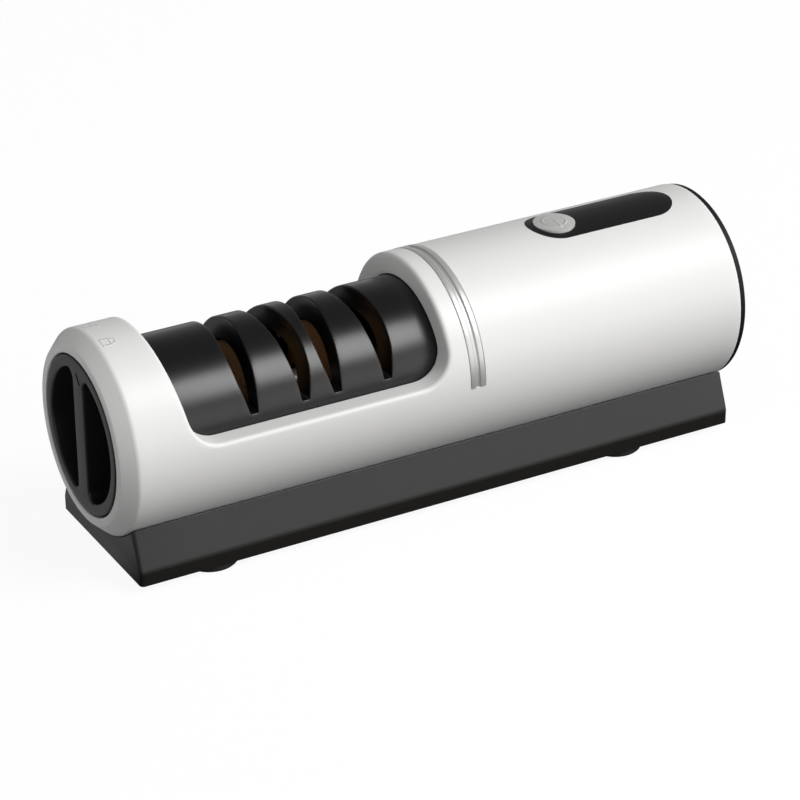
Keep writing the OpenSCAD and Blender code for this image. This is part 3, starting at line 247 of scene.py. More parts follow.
class Side:
    """One wall of an opening, from above the shell down to the middle of the opening's floor.

    The wall is a dense line of (x, z); toward is 1 where its material lies at smaller x and -1
    where it lies at larger x. Rows of the finished grid lie at even angles down to join_z, and
    then at even lengths round the corner and along the floor."""

    def __init__(self, line, toward, join_z, top_rows, corner_rows, floor_rows):
        self.x, self.z = np.asarray(line, float).T
        step = np.gradient(np.stack([self.x, self.z], 1), axis=0)
        step /= np.linalg.norm(step, axis=1, keepdims=True)
        self.nx, self.nz = toward * step[:, 1], -toward * step[:, 0]
        self.join = int(np.argmax(self.z <= join_z))
        self.shares = np.linspace(0, 1, top_rows)
        length = np.r_[0, np.cumsum(np.hypot(np.diff(self.x), np.diff(self.z)))]
        floor = int(np.argmax(self.z <= self.z.min() + 1e-6))
        corner = np.linspace(length[self.join], length[floor], corner_rows + 1)[1:]
        flat = np.linspace(length[floor], length[-1], floor_rows + 1)[1:]
        self.lower = np.interp(np.r_[corner, flat], length, np.arange(len(length)))
        self.wall_rows = top_rows + corner_rows

    def ring(self, radius, grow):
        """Where the wall, grown into the material, meets a circle of that radius: the directions
        into the material, the grown x and the angle of each row."""
        grown_z = self.z + grow * self.nz
        join_angle = math.acos(grown_z[self.join] / radius)
        wanted = radius * np.cos(self.shares * join_angle)
        top = np.interp(-wanted, -grown_z[: self.join + 1], np.arange(self.join + 1))
        at = np.r_[top, self.lower]
        index = np.arange(len(self.x))
        x, z, nx, nz = (np.interp(at, index, a) for a in (self.x, self.z, self.nx, self.nz))
        angle = np.arccos(np.clip((z + grow * nz) / radius, -1, 1))
        angle[0] = 0
        return nx, nz, x + grow * nx, angle

    def wall_between(self, start, end, grow, steps):
        """Rows of points straight across the wall from start to end, x read off the grown line."""
        t = np.linspace(0, 1, steps + 2)[1:-1]
        across = start[:, None] * (1 - t)[:, None] + end[:, None] * t[:, None]
        top = slice(0, len(self.shares))
        cut = self.join + 1
        line_z = -(self.z + grow * self.nz)[:cut]
        across[top, :, 0] = np.interp(-across[top, :, 2], line_z, (self.x + grow * self.nx)[:cut])
        return across

    def lining(self, outer_r, edge_r, depth_r, inner_edge_r, wall_t, shell_r):
        """The wall's whole section, carried along its rows: a rounded edge that a ball of edge_r
        would roll out between the outer circle and the wall, the wall down to depth_r, a rounded
        inner edge, and the back of the wall out to the shell's inside at shell_r."""

        def rounded_edge(radius, ball_r, start, flip):
            nx, nz, cx, angle = self.ring(radius, ball_r)
            centre = on_circle(cx, angle, radius)
            radial = start * np.stack([0 * angle, -np.sin(angle), np.cos(angle)], -1)
            void = np.stack([-nx, 0 * nx, -nz], -1)
            turn = np.arccos(np.clip((radial * void).sum(-1), -1, 1))[:, None, None]
            t = np.linspace(0, 1, 6)[None, :, None]
            swing = np.sin((1 - t) * turn) * radial[:, None] + np.sin(t * turn) * void[:, None]
            arc = centre[:, None] + ball_r * swing / np.sin(turn)
            return arc[:, ::-1] if flip else arc

        outer = rounded_edge(outer_r - edge_r, edge_r, 1, False)
        inner = rounded_edge(depth_r + inner_edge_r, inner_edge_r, -1, True)
        wall = self.wall_between(outer[:, -1], inner[:, 0], 0, 7)
        *_, deep_x, deep_angle = self.ring(depth_r, wall_t)
        *_, shell_x, shell_angle = self.ring(shell_r, wall_t)
        deep = on_circle(deep_x, deep_angle, depth_r)
        shell = on_circle(shell_x, shell_angle, shell_r)
        back = self.wall_between(deep, shell, wall_t, 3)
        return np.concatenate([outer, wall, inner, deep[:, None], back, shell[:, None]], 1)


def even_columns(start, end, size):
    """Shares from 0 to 1 that cut a length into columns of about the given size."""
    return np.linspace(0, 1, max(2, int(round(abs(end - start) / size)) + 1))


def skin(shape, openings, radius, grow, x0, x1, floor_angles, column, both):
    """The round skin between and below the openings, each a pair of sides. Between two openings
    the rows run over the top; below them they follow floor_angles. Returns, for the two ends,
    the angles of their rows over the top, and the columns' places below the openings."""
    left_edges, right_edges = [], []
    for left, right in openings:
        *_, x, angle = left.ring(radius, grow)
        left_edges.append((x, angle, left.wall_rows))
        *_, x, angle = right.ring(radius, grow)
        right_edges.append((x, angle, right.wall_rows))
    rows = left_edges[0][2]
    starts = [(np.full(rows, x0), left_edges[0][1][:rows])]
    starts += [(x[:n], a[:n]) for x, a, n in right_edges]
    last = right_edges[-1]
    ends = [(x[:n], a[:n]) for x, a, n in left_edges] + [(np.full(last[2], x1), last[1][: last[2]])]
    below = []
    for k, ((xa, aa), (xb, ab)) in enumerate(zip(starts, ends)):
        t = even_columns(xa[-1], xb[-1], column)
        x = xa[:, None] * (1 - t) + xb[:, None] * t
        angle = aa[:, None] * (1 - t) + ab[:, None] * t
        shape.both_sides(on_circle(x, angle, radius))
        below.append(x[-1])
        if k < len(openings):
            (xl, _, nl), (xr, _, nr) = left_edges[k], right_edges[k]
            below += [xl[nl:], xr[nr:][::-1][1:]]
    below = np.concatenate(below)
    bottom = on_circle(below, floor_angles[:, None], radius)
    if both:
        shape.both_sides(bottom)
    else:
        shape.grid(bottom)
    return starts[0][1], ends[-1][1], below


def all_round(top_angles, floor_angles):
    """The angles of a full circle: down the front, under the bottom and up the back."""
    return np.r_[top_angles, floor_angles[1:-1], 2 * math.pi - top_angles[::-1]]


# Housing


def cut_out_sides():
    """The leaning left wall and the upright right wall of the cut-out, rounded at the bottom."""
    corner_z = CUT_FLOOR + CUT_CORNER_R
    left_x = CUT_X0 + (BODY_R - corner_z) * math.tan(CUT_LEAN) + CUT_CORNER_R / math.cos(CUT_LEAN)
    right_x = CUT_X1 - CUT_CORNER_R
    middle = (left_x + right_x) / 2
    top_z = BODY_R + 3
    sides = []
    for x, lean, toward in ((left_x, CUT_LEAN, 1), (right_x, 0, -1)):
        end_z = corner_z - CUT_CORNER_R * math.sin(lean)
        z = np.linspace(top_z, end_z, 240)[:-1]
        wall_x = x - toward * (CUT_CORNER_R * math.cos(lean) + (z - end_z) * math.tan(lean))
        a = np.linspace(lean, math.pi / 2, 90)
        arc_x, arc_z = x - toward * CUT_CORNER_R * np.cos(a), corner_z - CUT_CORNER_R * np.sin(a)
        floor = np.linspace(x, middle, 60)[1:]
        line = np.stack([np.r_[wall_x, arc_x, floor], np.r_[z, arc_z, 0 * floor + CUT_FLOOR]], 1)
        sides.append(Side(line, toward, corner_z, 26, 18, 8))
    return sides


def make_housing():
    """White shell with the cut-out, the groove for the band and the rounded collar."""
    shape = Shape()
    sides = cut_out_sides()
    for side in sides:
        shape.both_sides(side.lining(BODY_R, CUT_EDGE_R, BORE_R, 0.35, WALL_T, INNER_R))
    groove_x0, groove_x1 = BAND_X0 - GAP, BAND_X1 + GAP
    rings = {}
    skins = (("outer", BODY_R - CUT_EDGE_R, CUT_EDGE_R), ("inner", INNER_R, WALL_T))
    for key, radius, grow in skins:
        *_, angle = sides[0].ring(radius, grow)
        floor_angle = angle[-1]
        steps = np.linspace(floor_angle, 2 * math.pi - floor_angle, 97)
        quarter = np.argmin(abs(steps - math.pi / 2))
        steps[quarter], steps[-1 - quarter] = math.pi / 2, 1.5 * math.pi
        rings[key] = steps
    left_outer, right_outer, _ = outer_skin(shape, sides, rings["outer"], groove_x0)
    left_inner, right_inner, _ = skin(
        shape, [sides], INNER_R, WALL_T, COLLAR_END, groove_x0, rings["inner"], 4.0, False
    )
    lip_r = BORE_R + 1.6
    corner = [(COLLAR_END, BODY_R), (CHAMFER_L, BODY_R), (0, BODY_R - CHAMFER_H), (0, BORE_R),
              (WALL_T, BORE_R), (WALL_T, lip_r), (5.8, INNER_R), (COLLAR_END, INNER_R)]
    profile = rounded(corner, [2.2, 1.3, 0.4, 0, 0, 0], 9)
    shape.grid(turned(profile, all_round(left_outer, rings["outer"]),
                      all_round(left_inner, rings["inner"]), len(profile) - 3))
    right_angles = all_round(right_outer, rings["outer"])
    inner_angles = all_round(right_inner, rings["inner"])
    # Narrower columns beside the panel
    x = np.r_[groove_x1, np.linspace(134, 167, 12), np.linspace(168.5, 223, 37), 227.5]
    tail = [(v, BODY_R) for v in x]
    end = [(229, BODY_R), (BODY_L, BODY_R), (BODY_L, INNER_R), (groove_x0, INNER_R)]
    tail += list(rounded(end, [0.9, 0.2], 6))
    shape.grid(turned(tail, right_angles, inner_angles, len(tail) - 2))
    groove_r = BODY_R - BAND_DEPTH - GAP
    level = [(groove_x0, BODY_R), (groove_x1, BODY_R)]
    groove = [level[0], (groove_x0, groove_r), (groove_x1, groove_r), level[1]]
    upper = right_angles[right_angles < math.pi / 2 + 1e-6]
    lower = right_angles[abs(right_angles - math.pi) < math.pi / 2 + 1e-6]
    shape.both_sides(turned(groove, upper))
    shape.grid(turned(level, lower))
    for angle in (math.pi / 2, 1.5 * math.pi):
        end = on_circle(np.array([p[0] for p in groove]), angle, np.array([p[1] for p in groove]))
        shape.add(end, [(0, 1, 2, 3)])
    shape.without(under_panel)
    make_piece("white_housing", shape, "housing")


def outer_skin(shape, sides, floor_angles, x1):
    """The housing's outer skin. Its rows meet the rounded edge of the cut-out, so they lie where
    the rolling ball touches: straight out from the ball's middle."""
    touching = [[TouchingSide(side) for side in sides]]
    return skin(shape, touching, BODY_R, CUT_EDGE_R, COLLAR_END, x1, floor_angles, 3.0, False)


class TouchingSide:
    """A side seen from the outer skin: its ring lies on the ball's circle, one ball further in."""

    def __init__(self, side, edge_r=CUT_EDGE_R):
        self.side = side
        self.edge_r = edge_r
        self.wall_rows = side.wall_rows

    def ring(self, radius, grow):
        """The side's ring for a ball that touches the outer circle from inside."""
        return self.side.ring(radius - self.edge_r, grow)


def under_panel(points):
    """True where a point on the housing's skin lies well inside the panel's outline."""
    middle = np.clip(points[:, 0], PANEL_X0 + PANEL_R, PANEL_X1 - PANEL_R)
    reach = np.hypot(points[:, 0] - middle, points[:, 1])
    return (reach < PANEL_R - 0.8) & (points[:, 2] > BODY_R - 2.2)


def make_band():
    """Bright band: two rounded ribs with a channel between them, turned over the top half."""
    foot_r, rib_r, channel_r = BODY_R - BAND_DEPTH, BODY_R + 0.15, BODY_R - 0.35
    rib_w, channel_side = 1.9, 2.35
    corner = [(BAND_X0, foot_r), (BAND_X0, rib_r), (BAND_X0 + rib_w, rib_r),
              (BAND_X0 + channel_side, channel_r), (BAND_X1 - channel_side, channel_r),
              (BAND_X1 - rib_w, rib_r), (BAND_X1, rib_r), (BAND_X1, foot_r), (BAND_X0, foot_r)]
    profile = rounded(corner, [0.45, 0.35, 0.4, 0.4, 0.35, 0.45, 0], 6)
    points = turned(profile, np.linspace(-math.pi / 2, math.pi / 2, 121))
    shape = Shape()
    shape.grid(points)
    for end in (points[0], points[-1]):
        shape.flat(end[:-1])
    make_piece("bright_band", shape, "trim_band")


def outline_on_housing(outline, rise):
    """Points of an outline in x and y set on the housing: z = sqrt((R + rise)^2 - y^2)."""
    outline = np.asarray(outline, float)
    z = np.sqrt((BODY_R + rise) ** 2 - outline[..., 1] ** 2)
    return np.concatenate([outline, z[..., None]], -1)


def panel_outline(inset, count):
    """The panel's outline, set in: two half circles and two straight sides of count points each."""
    radius = PANEL_R - inset
    right_x = PANEL_X1 - PANEL_R
    ends = np.linspace(0, math.pi, 33)
    straight = np.linspace(0, 1, count)[1:-1]
    run = (right_x - BUTTON_X) * straight
    right = np.stack([right_x + radius * np.sin(ends), radius * np.cos(ends)], 1)
    bottom = np.stack([right_x - run, 0 * straight - radius], 1)
    left = np.stack([BUTTON_X - radius * np.sin(ends), -radius * np.cos(ends)], 1)
    top = np.stack([BUTTON_X + run, 0 * straight + radius], 1)
    return np.concatenate([right, bottom, left, top])


def make_panel():
    """Dark round-ended panel: rings from the button's hole out to the panel's rounded edge."""
    hole_r, bevel, under, side_points = BUTTON_R + 0.15, 0.15, -1.4, 30
    middle = np.array([BUTTON_X, 0])
    rim = panel_outline(0.3, side_points)
    toward = rim - middle
    toward /= np.linalg.norm(toward, axis=1, keepdims=True)
    hole = middle + hole_r * toward
    start = hole + bevel * toward
    rows = [outline_on_housing(hole, under), outline_on_housing(hole, PANEL_RISE - bevel)]
    for share in np.linspace(0, 1, 14):
        rows.append(outline_on_housing(start * (1 - share) + rim * share, PANEL_RISE))
    edge = ((0.16, PANEL_RISE - 0.04), (0.05, PANEL_RISE - 0.14), (0.02, -0.3), (0.02, under))
    for inset, rise in edge:
        rows.append(outline_on_housing(panel_outline(inset, side_points), rise))
    rows.append(rows[0])
    shape = Shape()
    shape.grid(np.stack(rows, 1), ring=True)
    make_piece("top_panel_black", shape, "top_panel")


# Cartridge


def slot_sides(middle, wheel_right):
    """The two walls of a blade slot: the wall away from the wheel bulges out and the wall beside
    the wheel leans evenly. Both come from smoothed reaches at set heights."""
    rise = CART_R - SLOT_FLOOR
    corner_r = 0.35
    even_z = np.linspace(SLOT_FLOOR, SLOT_FLOOR + 1.2 * rise, 400)
    smooth = np.ones(41) / 41
    z = np.r_[np.linspace(SLOT_FLOOR + 1.15 * rise, SLOT_FLOOR + corner_r, 260)[:-1],
              SLOT_FLOOR + corner_r * (1 - np.sin(np.linspace(0, math.pi / 2, 40)))]
    below = np.maximum(SLOT_FLOOR + corner_r - z, 0)
    round_off = corner_r - np.sqrt(np.maximum(corner_r**2 - below**2, 0))
    sides = []
    for toward in (1, -1):
        away = (toward == 1) == wheel_right
        reach, shares = (SLOT_OUT_W, SLOT_OUT_SHARES) if away else (SLOT_IN_W, SLOT_IN_SHARES)
        reaches = np.interp((even_z - SLOT_FLOOR) / rise, SLOT_HEIGHT_SHARES, shares * reach)
        first, last = 2 * reaches[0] - reaches[20:0:-1], 2 * reaches[-1] - reaches[-2:-22:-1]
        padded = np.r_[first, reaches, last]
        half = np.interp(z, even_z, np.convolve(padded, smooth, "valid")) - round_off
        floor = np.linspace(half[-1], 0, 12)[1:]
        line = np.stack([np.r_[middle - toward * half, middle - toward * floor],
                         np.r_[z, 0 * floor + SLOT_FLOOR]], 1)
        sides.append(Side(line, toward, 14.0, 26, 16, 3))
    return sides


def slanted(points, guide_t):
    """Points of the cover slid along the axis so that each slot runs at an angle: from the floor's
    front end the slide grows with y, full between a slot's guide walls and fading between slots."""
    floor_y = -math.sqrt(CART_R**2 - SLOT_FLOOR**2)
    marks, slides = [CART_LEFT], [0]
    for wheel_x in WHEEL_XS:
        for side in (-1, 1):
            reaches = sorted((side * (SLOT_OUT_W + guide_t), -side * (SLOT_IN_W + guide_t)))
            marks += [wheel_x + side * SLOT_OFFSET + reach for reach in reaches]
            slides += [-side, -side]
    slide = np.interp(points[:, 0], marks + [CART_RIGHT], slides + [0])
    points[:, 0] += slide * math.tan(SLOT_TURN) * (points[:, 1] - floor_y)
    return points


def make_cartridge_top():
    """Upper half of the cartridge: the black skin with four slots, the guide walls and the ends."""
    shape = Shape()
    edge_r, wall_t = 0.4, 1.0
    openings = []
    for wheel_x in WHEEL_XS:
        openings.append(slot_sides(wheel_x - SLOT_OFFSET, True))
        openings.append(slot_sides(wheel_x + SLOT_OFFSET, False))
    for opening in openings:
        for side in opening:
            shape.both_sides(side.lining(CART_R, edge_r, GUIDE_R, 0.25, wall_t, CART_INNER_R))
    touching = [[TouchingSide(side, edge_r) for side in opening] for opening in openings]
    rows = {}
    skins = (("outer", touching, CART_R, edge_r), ("inner", openings, CART_INNER_R, wall_t))
    for key, sides, radius, grow in skins:
        *_, angle = sides[0][0].ring(radius, grow)
        floor_angles = np.linspace(angle[-1], math.pi / 2, 9)
        left, right, below = skin(
            shape, sides, radius, grow, CART_LEFT, CART_RIGHT, floor_angles, 1.6, True
        )
        rows[key] = [np.r_[end, floor_angles[1:]] for end in (left, right)] + [below]
    bush_r, hub_r = 4.55, 4.04
    cam_x, left_bush_x, chamber_x = 19.4, 24, 28
    right_bush_x, jaw_x = 106, 110
    left = rounded([(CART_LEFT, CART_R), (CART_X0, CART_R), (CART_X0, hub_r), (cam_x, hub_r),
                    (cam_x, CART_INNER_R), (left_bush_x, CART_INNER_R), (left_bush_x, bush_r),
                    (chamber_x, bush_r), (chamber_x, CART_INNER_R), (CART_LEFT, CART_INNER_R)],
                   [0.5, 0.3, 0.3, 0, 0, 0.3, 0.3, 0])
    right = rounded([(CART_RIGHT, CART_R), (CART_X1, CART_R), (CART_X1, CART_INNER_R),
                     (jaw_x, CART_INNER_R), (jaw_x, bush_r), (right_bush_x, bush_r),
                     (right_bush_x, CART_INNER_R), (CART_RIGHT, CART_INNER_R)],
                    [0.5, 0.3, 0, 0.3, 0.3, 0])
    for k, profile in enumerate((left, right)):
        shape.both_sides(turned(profile, rows["outer"][k], rows["inner"][k], 8))
    loop = np.concatenate([
        left[::-1],
        np.stack([rows["outer"][2][1:-1], 0 * rows["outer"][2][1:-1] + CART_R], 1),
        right,
        np.stack([rows["inner"][2][-2:0:-1], 0 * rows["inner"][2][-2:0:-1] + CART_INNER_R], 1),
    ])
    for sign in (-1, 1):
        shape.flat(np.stack([loop[:, 0], sign * loop[:, 1], 0 * loop[:, 0]], 1))
    shape.points = [slanted(points, wall_t) for points in shape.points]
    make_piece("cartridge_cover", shape, "cartridge_top")


# Knob


def recess_line(grow):
    """A finger recess on the front side, grown all round: a straight side along the grip bar,
    an outer arc around the knob's middle, and rounded corners between them."""
    corner_r = RECESS_CORNER_R + grow
    corner_y = GRIP_HALF + RECESS_CORNER_R
    corner_z = math.sqrt((RECESS_R - RECESS_CORNER_R) ** 2 - corner_y**2)
    reach = math.atan2(corner_z, corner_y)
    a = np.linspace(math.pi, reach, 22)
    top = np.stack([corner_y + corner_r * np.cos(a), corner_z + corner_r * np.sin(a)], 1)
    b = np.linspace(reach, -reach, 70)[1:-1]
    outer = (RECESS_R + grow) * np.stack([np.cos(b), np.sin(b)], 1)
    bottom = top[::-1] * (1, -1)
    side = np.linspace(-corner_z, corner_z, 30)[1:-1]
    straight = np.stack([0 * side + GRIP_HALF - grow, side], 1)
    return np.concatenate([top, outer, bottom, straight]) * (-1, 1)


def flat_loop(x, line):
    """A loop of (y, z) at one x."""
    return np.concatenate([np.full((len(line), 1), x), line], 1)


def tick_line(grow):
    """The pointer: a round-ended bar near the top of the grip bar, leaning."""
    half_l, half_w, middle = 2.2 + grow, 0.5 + grow, (-0.5, 20.5)
    a = np.linspace(0, math.pi, 9)
    end = np.stack([half_w * np.cos(a), half_l - half_w + half_w * np.sin(a)], 1)
    bar = np.concatenate([end, -end])
    lean = math.radians(-37)
    turn = np.array([[math.cos(lean), -math.sin(lean)], [math.sin(lean), math.cos(lean)]])
    return bar @ turn.T + middle


def make_knob():
    """Knob: a rounded drum, two deep recesses whose rims are rounded, and the pointer's groove."""
    shape = Shape()
    angles = np.linspace(0, 2 * math.pi, 181)
    edge_r, rim_r, foot_r = 0.9, 0.8, 1.2
    face_r, cam_r, cam_x = KNOB_R - 2, 24.2, 11.2
    corner = [(0, face_r), (0, KNOB_R), (KNOB_L, KNOB_R), (KNOB_L, cam_r), (cam_x, cam_r),
              (cam_x, 0)]
    profile = rounded(corner, [edge_r, 0.3, 0.2, 0], 7)
    shape.grid(turned(profile, angles))
    a = np.linspace(0, math.pi / 2, 7)
    loops = []
    for turn in (1, -1):
        rows = []
        for t in a:
            rows.append(flat_loop(rim_r * (1 - math.cos(t)), recess_line(rim_r * (1 - math.sin(t)))))
        rows += [flat_loop(x, recess_line(-0.03 * x)) for x in (3, 6)]
        for t in a:
            foot = recess_line(-0.2 - foot_r * (1 - math.cos(t)))
            rows.append(flat_loop(RECESS_DEPTH - foot_r * (1 - math.sin(t)), foot))
        rows = np.stack(rows, 1) * (1, turn, 1)
        shape.grid(rows, ring=True)
        shape.flat(rows[:, -1])
        loops.append(rows[:, 0])
    bevel, tick_depth = 0.08, 0.35
    tick = [(0, bevel), (bevel, 0), (tick_depth, 0)]
    tick = np.stack([flat_loop(x, tick_line(grow)) for x, grow in tick], 1)
    shape.grid(tick, ring=True)
    shape.flat(tick[:, -1])
    rim = on_circle(np.zeros(180), angles[:-1], face_r)
    shape.flat(rim, *loops, tick[:, 0])
    make_piece("lock_knob", shape, "knob", sharp=40)


# Base


def make_base():
    """Base: the section with sloping sides and the trough, drawn in at both ends by rounded edges.
    The trough widens a little at its upper edges, which are bevelled, and each side bends down
    into the lip in an arc."""
    shape = Shape()
    bevel, groove_w, groove_reach = 0.12, 0.45, math.radians(4)
    bend_r, bend_rise = 7.4, 0.3
    heights = LIP_Z + np.r_[np.linspace(6, 2.2, 3), np.linspace(1.8, 0, 14)]

    def section(inset):
        half, meet = BASE_HALF - inset, BASE_MEET - inset
        reach = math.asin((meet - bevel) / (BODY_R + GAP + groove_w))
        a = np.linspace(-reach, reach, 61)
        opened = np.clip((np.abs(a) - reach + groove_reach) / groove_reach, 0, 1)
        trough_r = BODY_R + GAP + groove_w * opened
        trough = np.stack([trough_r * np.sin(a), -trough_r * np.cos(a)], 1)
        trough[:, 1] -= inset * np.cos(a) * 0.5
        top = (meet, trough[-1, 1] - bevel)
        side = rounded([top, (half, LIP_Z + bend_rise), (half, LIP_Z - 2)], [bend_r], 24)[::-1]
        levels = np.r_[top[1] - bevel, heights]
        reaches = np.interp(levels, side[:, 1], side[:, 0])
        slope = np.stack([np.r_[top[0], reaches], np.r_[top[1], levels]], 1)
        return np.concatenate([slope[::-1] * (-1, 1), trough, slope])

    edge, first = 1.3, 20
    a = np.linspace(0, math.pi / 2, 7)
    xs = list(BASE_X0 + edge * (1 - np.sin(a))[::-1])
    xs += [BASE_X0 + first, (BASE_X0 + BASE_X1) / 2, BASE_X1 - first]
    insets = list(edge * (1 - np.cos(a))[::-1]) + [0, 0, 0]
    xs += list(BASE_X1 - edge * (1 - np.sin(a)))
    insets += list(edge * (1 - np.cos(a)))
    rows = np.stack([flat_loop(x, section(i)) for x, i in zip(xs, insets)], 1)
    shape.grid(rows, ring=True)
    for k in (0, -1):
        shape.flat(rows[:, k])
    make_piece("base_body", shape, "base_shell")


# Finishes

FLOAT, COLOUR = "NodeSocketFloat", "NodeSocketColor"
SURFACE = [("Colour", COLOUR), ("Roughness", FLOAT), ("Height", FLOAT)]


def node_group(name, inputs, outputs):
    """An empty shader group with named inputs (kind, default) and outputs; returns it with the
    sockets to read its inputs from and its output node."""
    group = bpy.data.node_groups.new(name, "ShaderNodeTree")
    for label, kind, value in inputs:
        socket = group.interface.new_socket(label, in_out="INPUT", socket_type=kind)
        socket.default_value = value
    for label, kind in outputs:
        group.interface.new_socket(label, in_out="OUTPUT", socket_type=kind)
    into, out = group.nodes.new("NodeGroupInput"), group.nodes.new("NodeGroupOutput")
    return group, into.outputs, out


def feed(node, inputs):
    """Links a node's inputs to sockets or sets them to values; returns the node's outputs."""
    for name, value in inputs.items():
        if isinstance(value, bpy.types.NodeSocket):
            node.id_data.links.new(value, node.inputs[name])
        else:
            node.inputs[name].default_value = value
    return node.outputs


def maths(tree, operation, a, b=0.0, clamp=False):
    """A math node on two values or sockets; returns its output."""
    node = tree.nodes.new("ShaderNodeMath")
    node.operation, node.use_clamp = operation, clamp
    return feed(node, {0: a, 1: b})[0]


def ramp_between(tree, value, start, end, low, high):
    """A value eased from low to high while its input goes from start to end."""
    node = tree.nodes.new("ShaderNodeMapRange")
    node.interpolation_type = "SMOOTHSTEP"
    inputs = {"Value": value, "From Min": start, "From Max": end, "To Min": low, "To Max": high}
    return feed(node, inputs)["Result"]


def noise(tree, vector, scale, detail=3.0, roughness=0.55):
    """Noise on a vector; scale is in 1/m, a number or a socket. Returns its value from 0 to 1."""
    inputs = {"Vector": vector, "Scale": scale, "Detail": detail, "Roughness": roughness}
    return feed(tree.nodes.new("ShaderNodeTexNoise"), inputs)["Fac"]


def shade(tree, colour, amount):
    """A colour made lighter or darker by an amount around 0."""
    node = tree.nodes.new("ShaderNodeVectorMath")
    node.operation = "SCALE"
    return feed(node, {0: colour, "Scale": maths(tree, "ADD", amount, 1.0)})[0]


def around(tree, value, spread):
    """A value around 0.5 moved around 0 and scaled by a spread."""
    return maths(tree, "MULTIPLY", maths(tree, "SUBTRACT", value, 0.5), spread)


def put_out(into, out, colour, dull, height):
    """Sets what a finish group puts out; its roughness is the one put in, duller by an amount."""
    roughness = maths(out.id_data, "ADD", into["Roughness"], dull, clamp=True)
    feed(out, {"Colour": colour, "Roughness": roughness, "Height": height})


def moulded_group():
    """Moulded plastic: a fine spark-eroded grain, faint flow marks and soft handling marks."""
    group, into, out = node_group(
        "moulded_grain",
        [("Colour", COLOUR, (0.5, 0.5, 0.5, 1)), ("Grain", FLOAT, 2500.0),
         ("Tone", FLOAT, 0.03), ("Roughness", FLOAT, 0.4), ("Marks", FLOAT, 0.1)],
        SURFACE,
    )
    where = group.nodes.new("ShaderNodeTexCoord").outputs["Object"]
    grain = noise(group, where, into["Grain"], 2.0)
    flow = noise(group, where, 28.0, 2.0)
    marks = noise(group, where, 160.0, 5.0, 0.7)
    tone = around(group, flow, into["Tone"])
    fine = around(group, grain, into["Tone"])
    colour = shade(group, into["Colour"], maths(group, "ADD", tone, fine))
    dull = around(group, marks, into["Marks"])
    put_out(into, out, colour, dull, grain)
    return group


def brushed_group():
    """Worked metal: fine lines along one axis of the piece, with uneven gloss."""
    group, into, out = node_group(
        "worked_metal",
        [("Colour", COLOUR, (0.5, 0.5, 0.5, 1)), ("Stretch", "NodeSocketVector", (1, 1, 1)),
         ("Lines", FLOAT, 1500.0), ("Tone", FLOAT, 0.1),
         ("Roughness", FLOAT, 0.3), ("Marks", FLOAT, 0.15)],
        SURFACE,
    )
    where = group.nodes.new("ShaderNodeTexCoord").outputs["Object"]
    stretched = group.nodes.new("ShaderNodeVectorMath")
    stretched.operation = "MULTIPLY"
    stretched = feed(stretched, {0: where, 1: into["Stretch"]})[0]
    lines = noise(group, stretched, into["Lines"], 3.0, 0.6)
    cloud = noise(group, where, 90.0, 4.0, 0.6)
    tone = around(group, lines, into["Tone"])
    colour = shade(group, into["Colour"], tone)
    dull = around(group, cloud, into["Marks"])
    put_out(into, out, colour, dull, lines)
    return group


def grit_group():
    """Bonded abrasive: packed grains of two sizes, each with its own tone, and dark pores."""
    group, into, out = node_group(
        "bonded_grit",
        [("Colour", COLOUR, (0.3, 0.2, 0.1, 1)), ("Grit", FLOAT, 3000.0),
         ("Tone", FLOAT, 0.5), ("Roughness", FLOAT, 0.8)],
        SURFACE,
    )
    where = group.nodes.new("ShaderNodeTexCoord").outputs["Object"]
    cells = group.nodes.new("ShaderNodeTexVoronoi")
    cells = feed(cells, {"Vector": where, "Scale": into["Grit"]})["Distance"]
    pores = noise(group, where, maths(group, "MULTIPLY", into["Grit"], 0.4), 4.0, 0.65)
    grain = maths(group, "MULTIPLY", maths(group, "SUBTRACT", cells, 0.4), into["Tone"])
    pore = around(group, pores, into["Tone"])
    colour = shade(group, into["Colour"], maths(group, "ADD", grain, pore))
    put_out(into, out, colour, pore, maths(group, "ADD", cells, pores))
    return group


def stroke(tree, reach, width):
    """1 where a distance is less than half a line's width, fading to 0 over a soft edge."""
    soft = 0.15 * MM
    return ramp_between(tree, reach, width / 2 + soft, width / 2 - soft, 0.0, 1.0)


def ring_reach(tree, u, v, radius):
    """Distance from a circle: abs(sqrt(u^2 + v^2) - radius)."""
    squares = maths(tree, "ADD", maths(tree, "MULTIPLY", u, u), maths(tree, "MULTIPLY", v, v))
    return maths(tree, "ABSOLUTE", maths(tree, "SUBTRACT", maths(tree, "SQRT", squares), radius))


def box_reach(tree, u, v, half_u, half_v):
    """Signed distance out of an upright box: max(abs(u) - half_u, abs(v) - half_v)."""
    across = maths(tree, "SUBTRACT", maths(tree, "ABSOLUTE", u), half_u)
    along = maths(tree, "SUBTRACT", maths(tree, "ABSOLUTE", v), half_v)
    return maths(tree, "MAXIMUM", across, along)


def past_place(tree, parts, x):
    """Distance along the housing from a place x in mm."""
    return maths(tree, "SUBTRACT", parts["X"], (x - TOTAL_L / 2) * MM)


def mark_tree(name):
    """A group that puts out a mark's height, and the three object coordinates to draw it on."""
    tree, _, out = node_group(name, [], [("Height", FLOAT)])
    where = tree.nodes.new("ShaderNodeTexCoord").outputs["Object"]
    return tree, feed(tree.nodes.new("ShaderNodeSeparateXYZ"), {0: where}), out


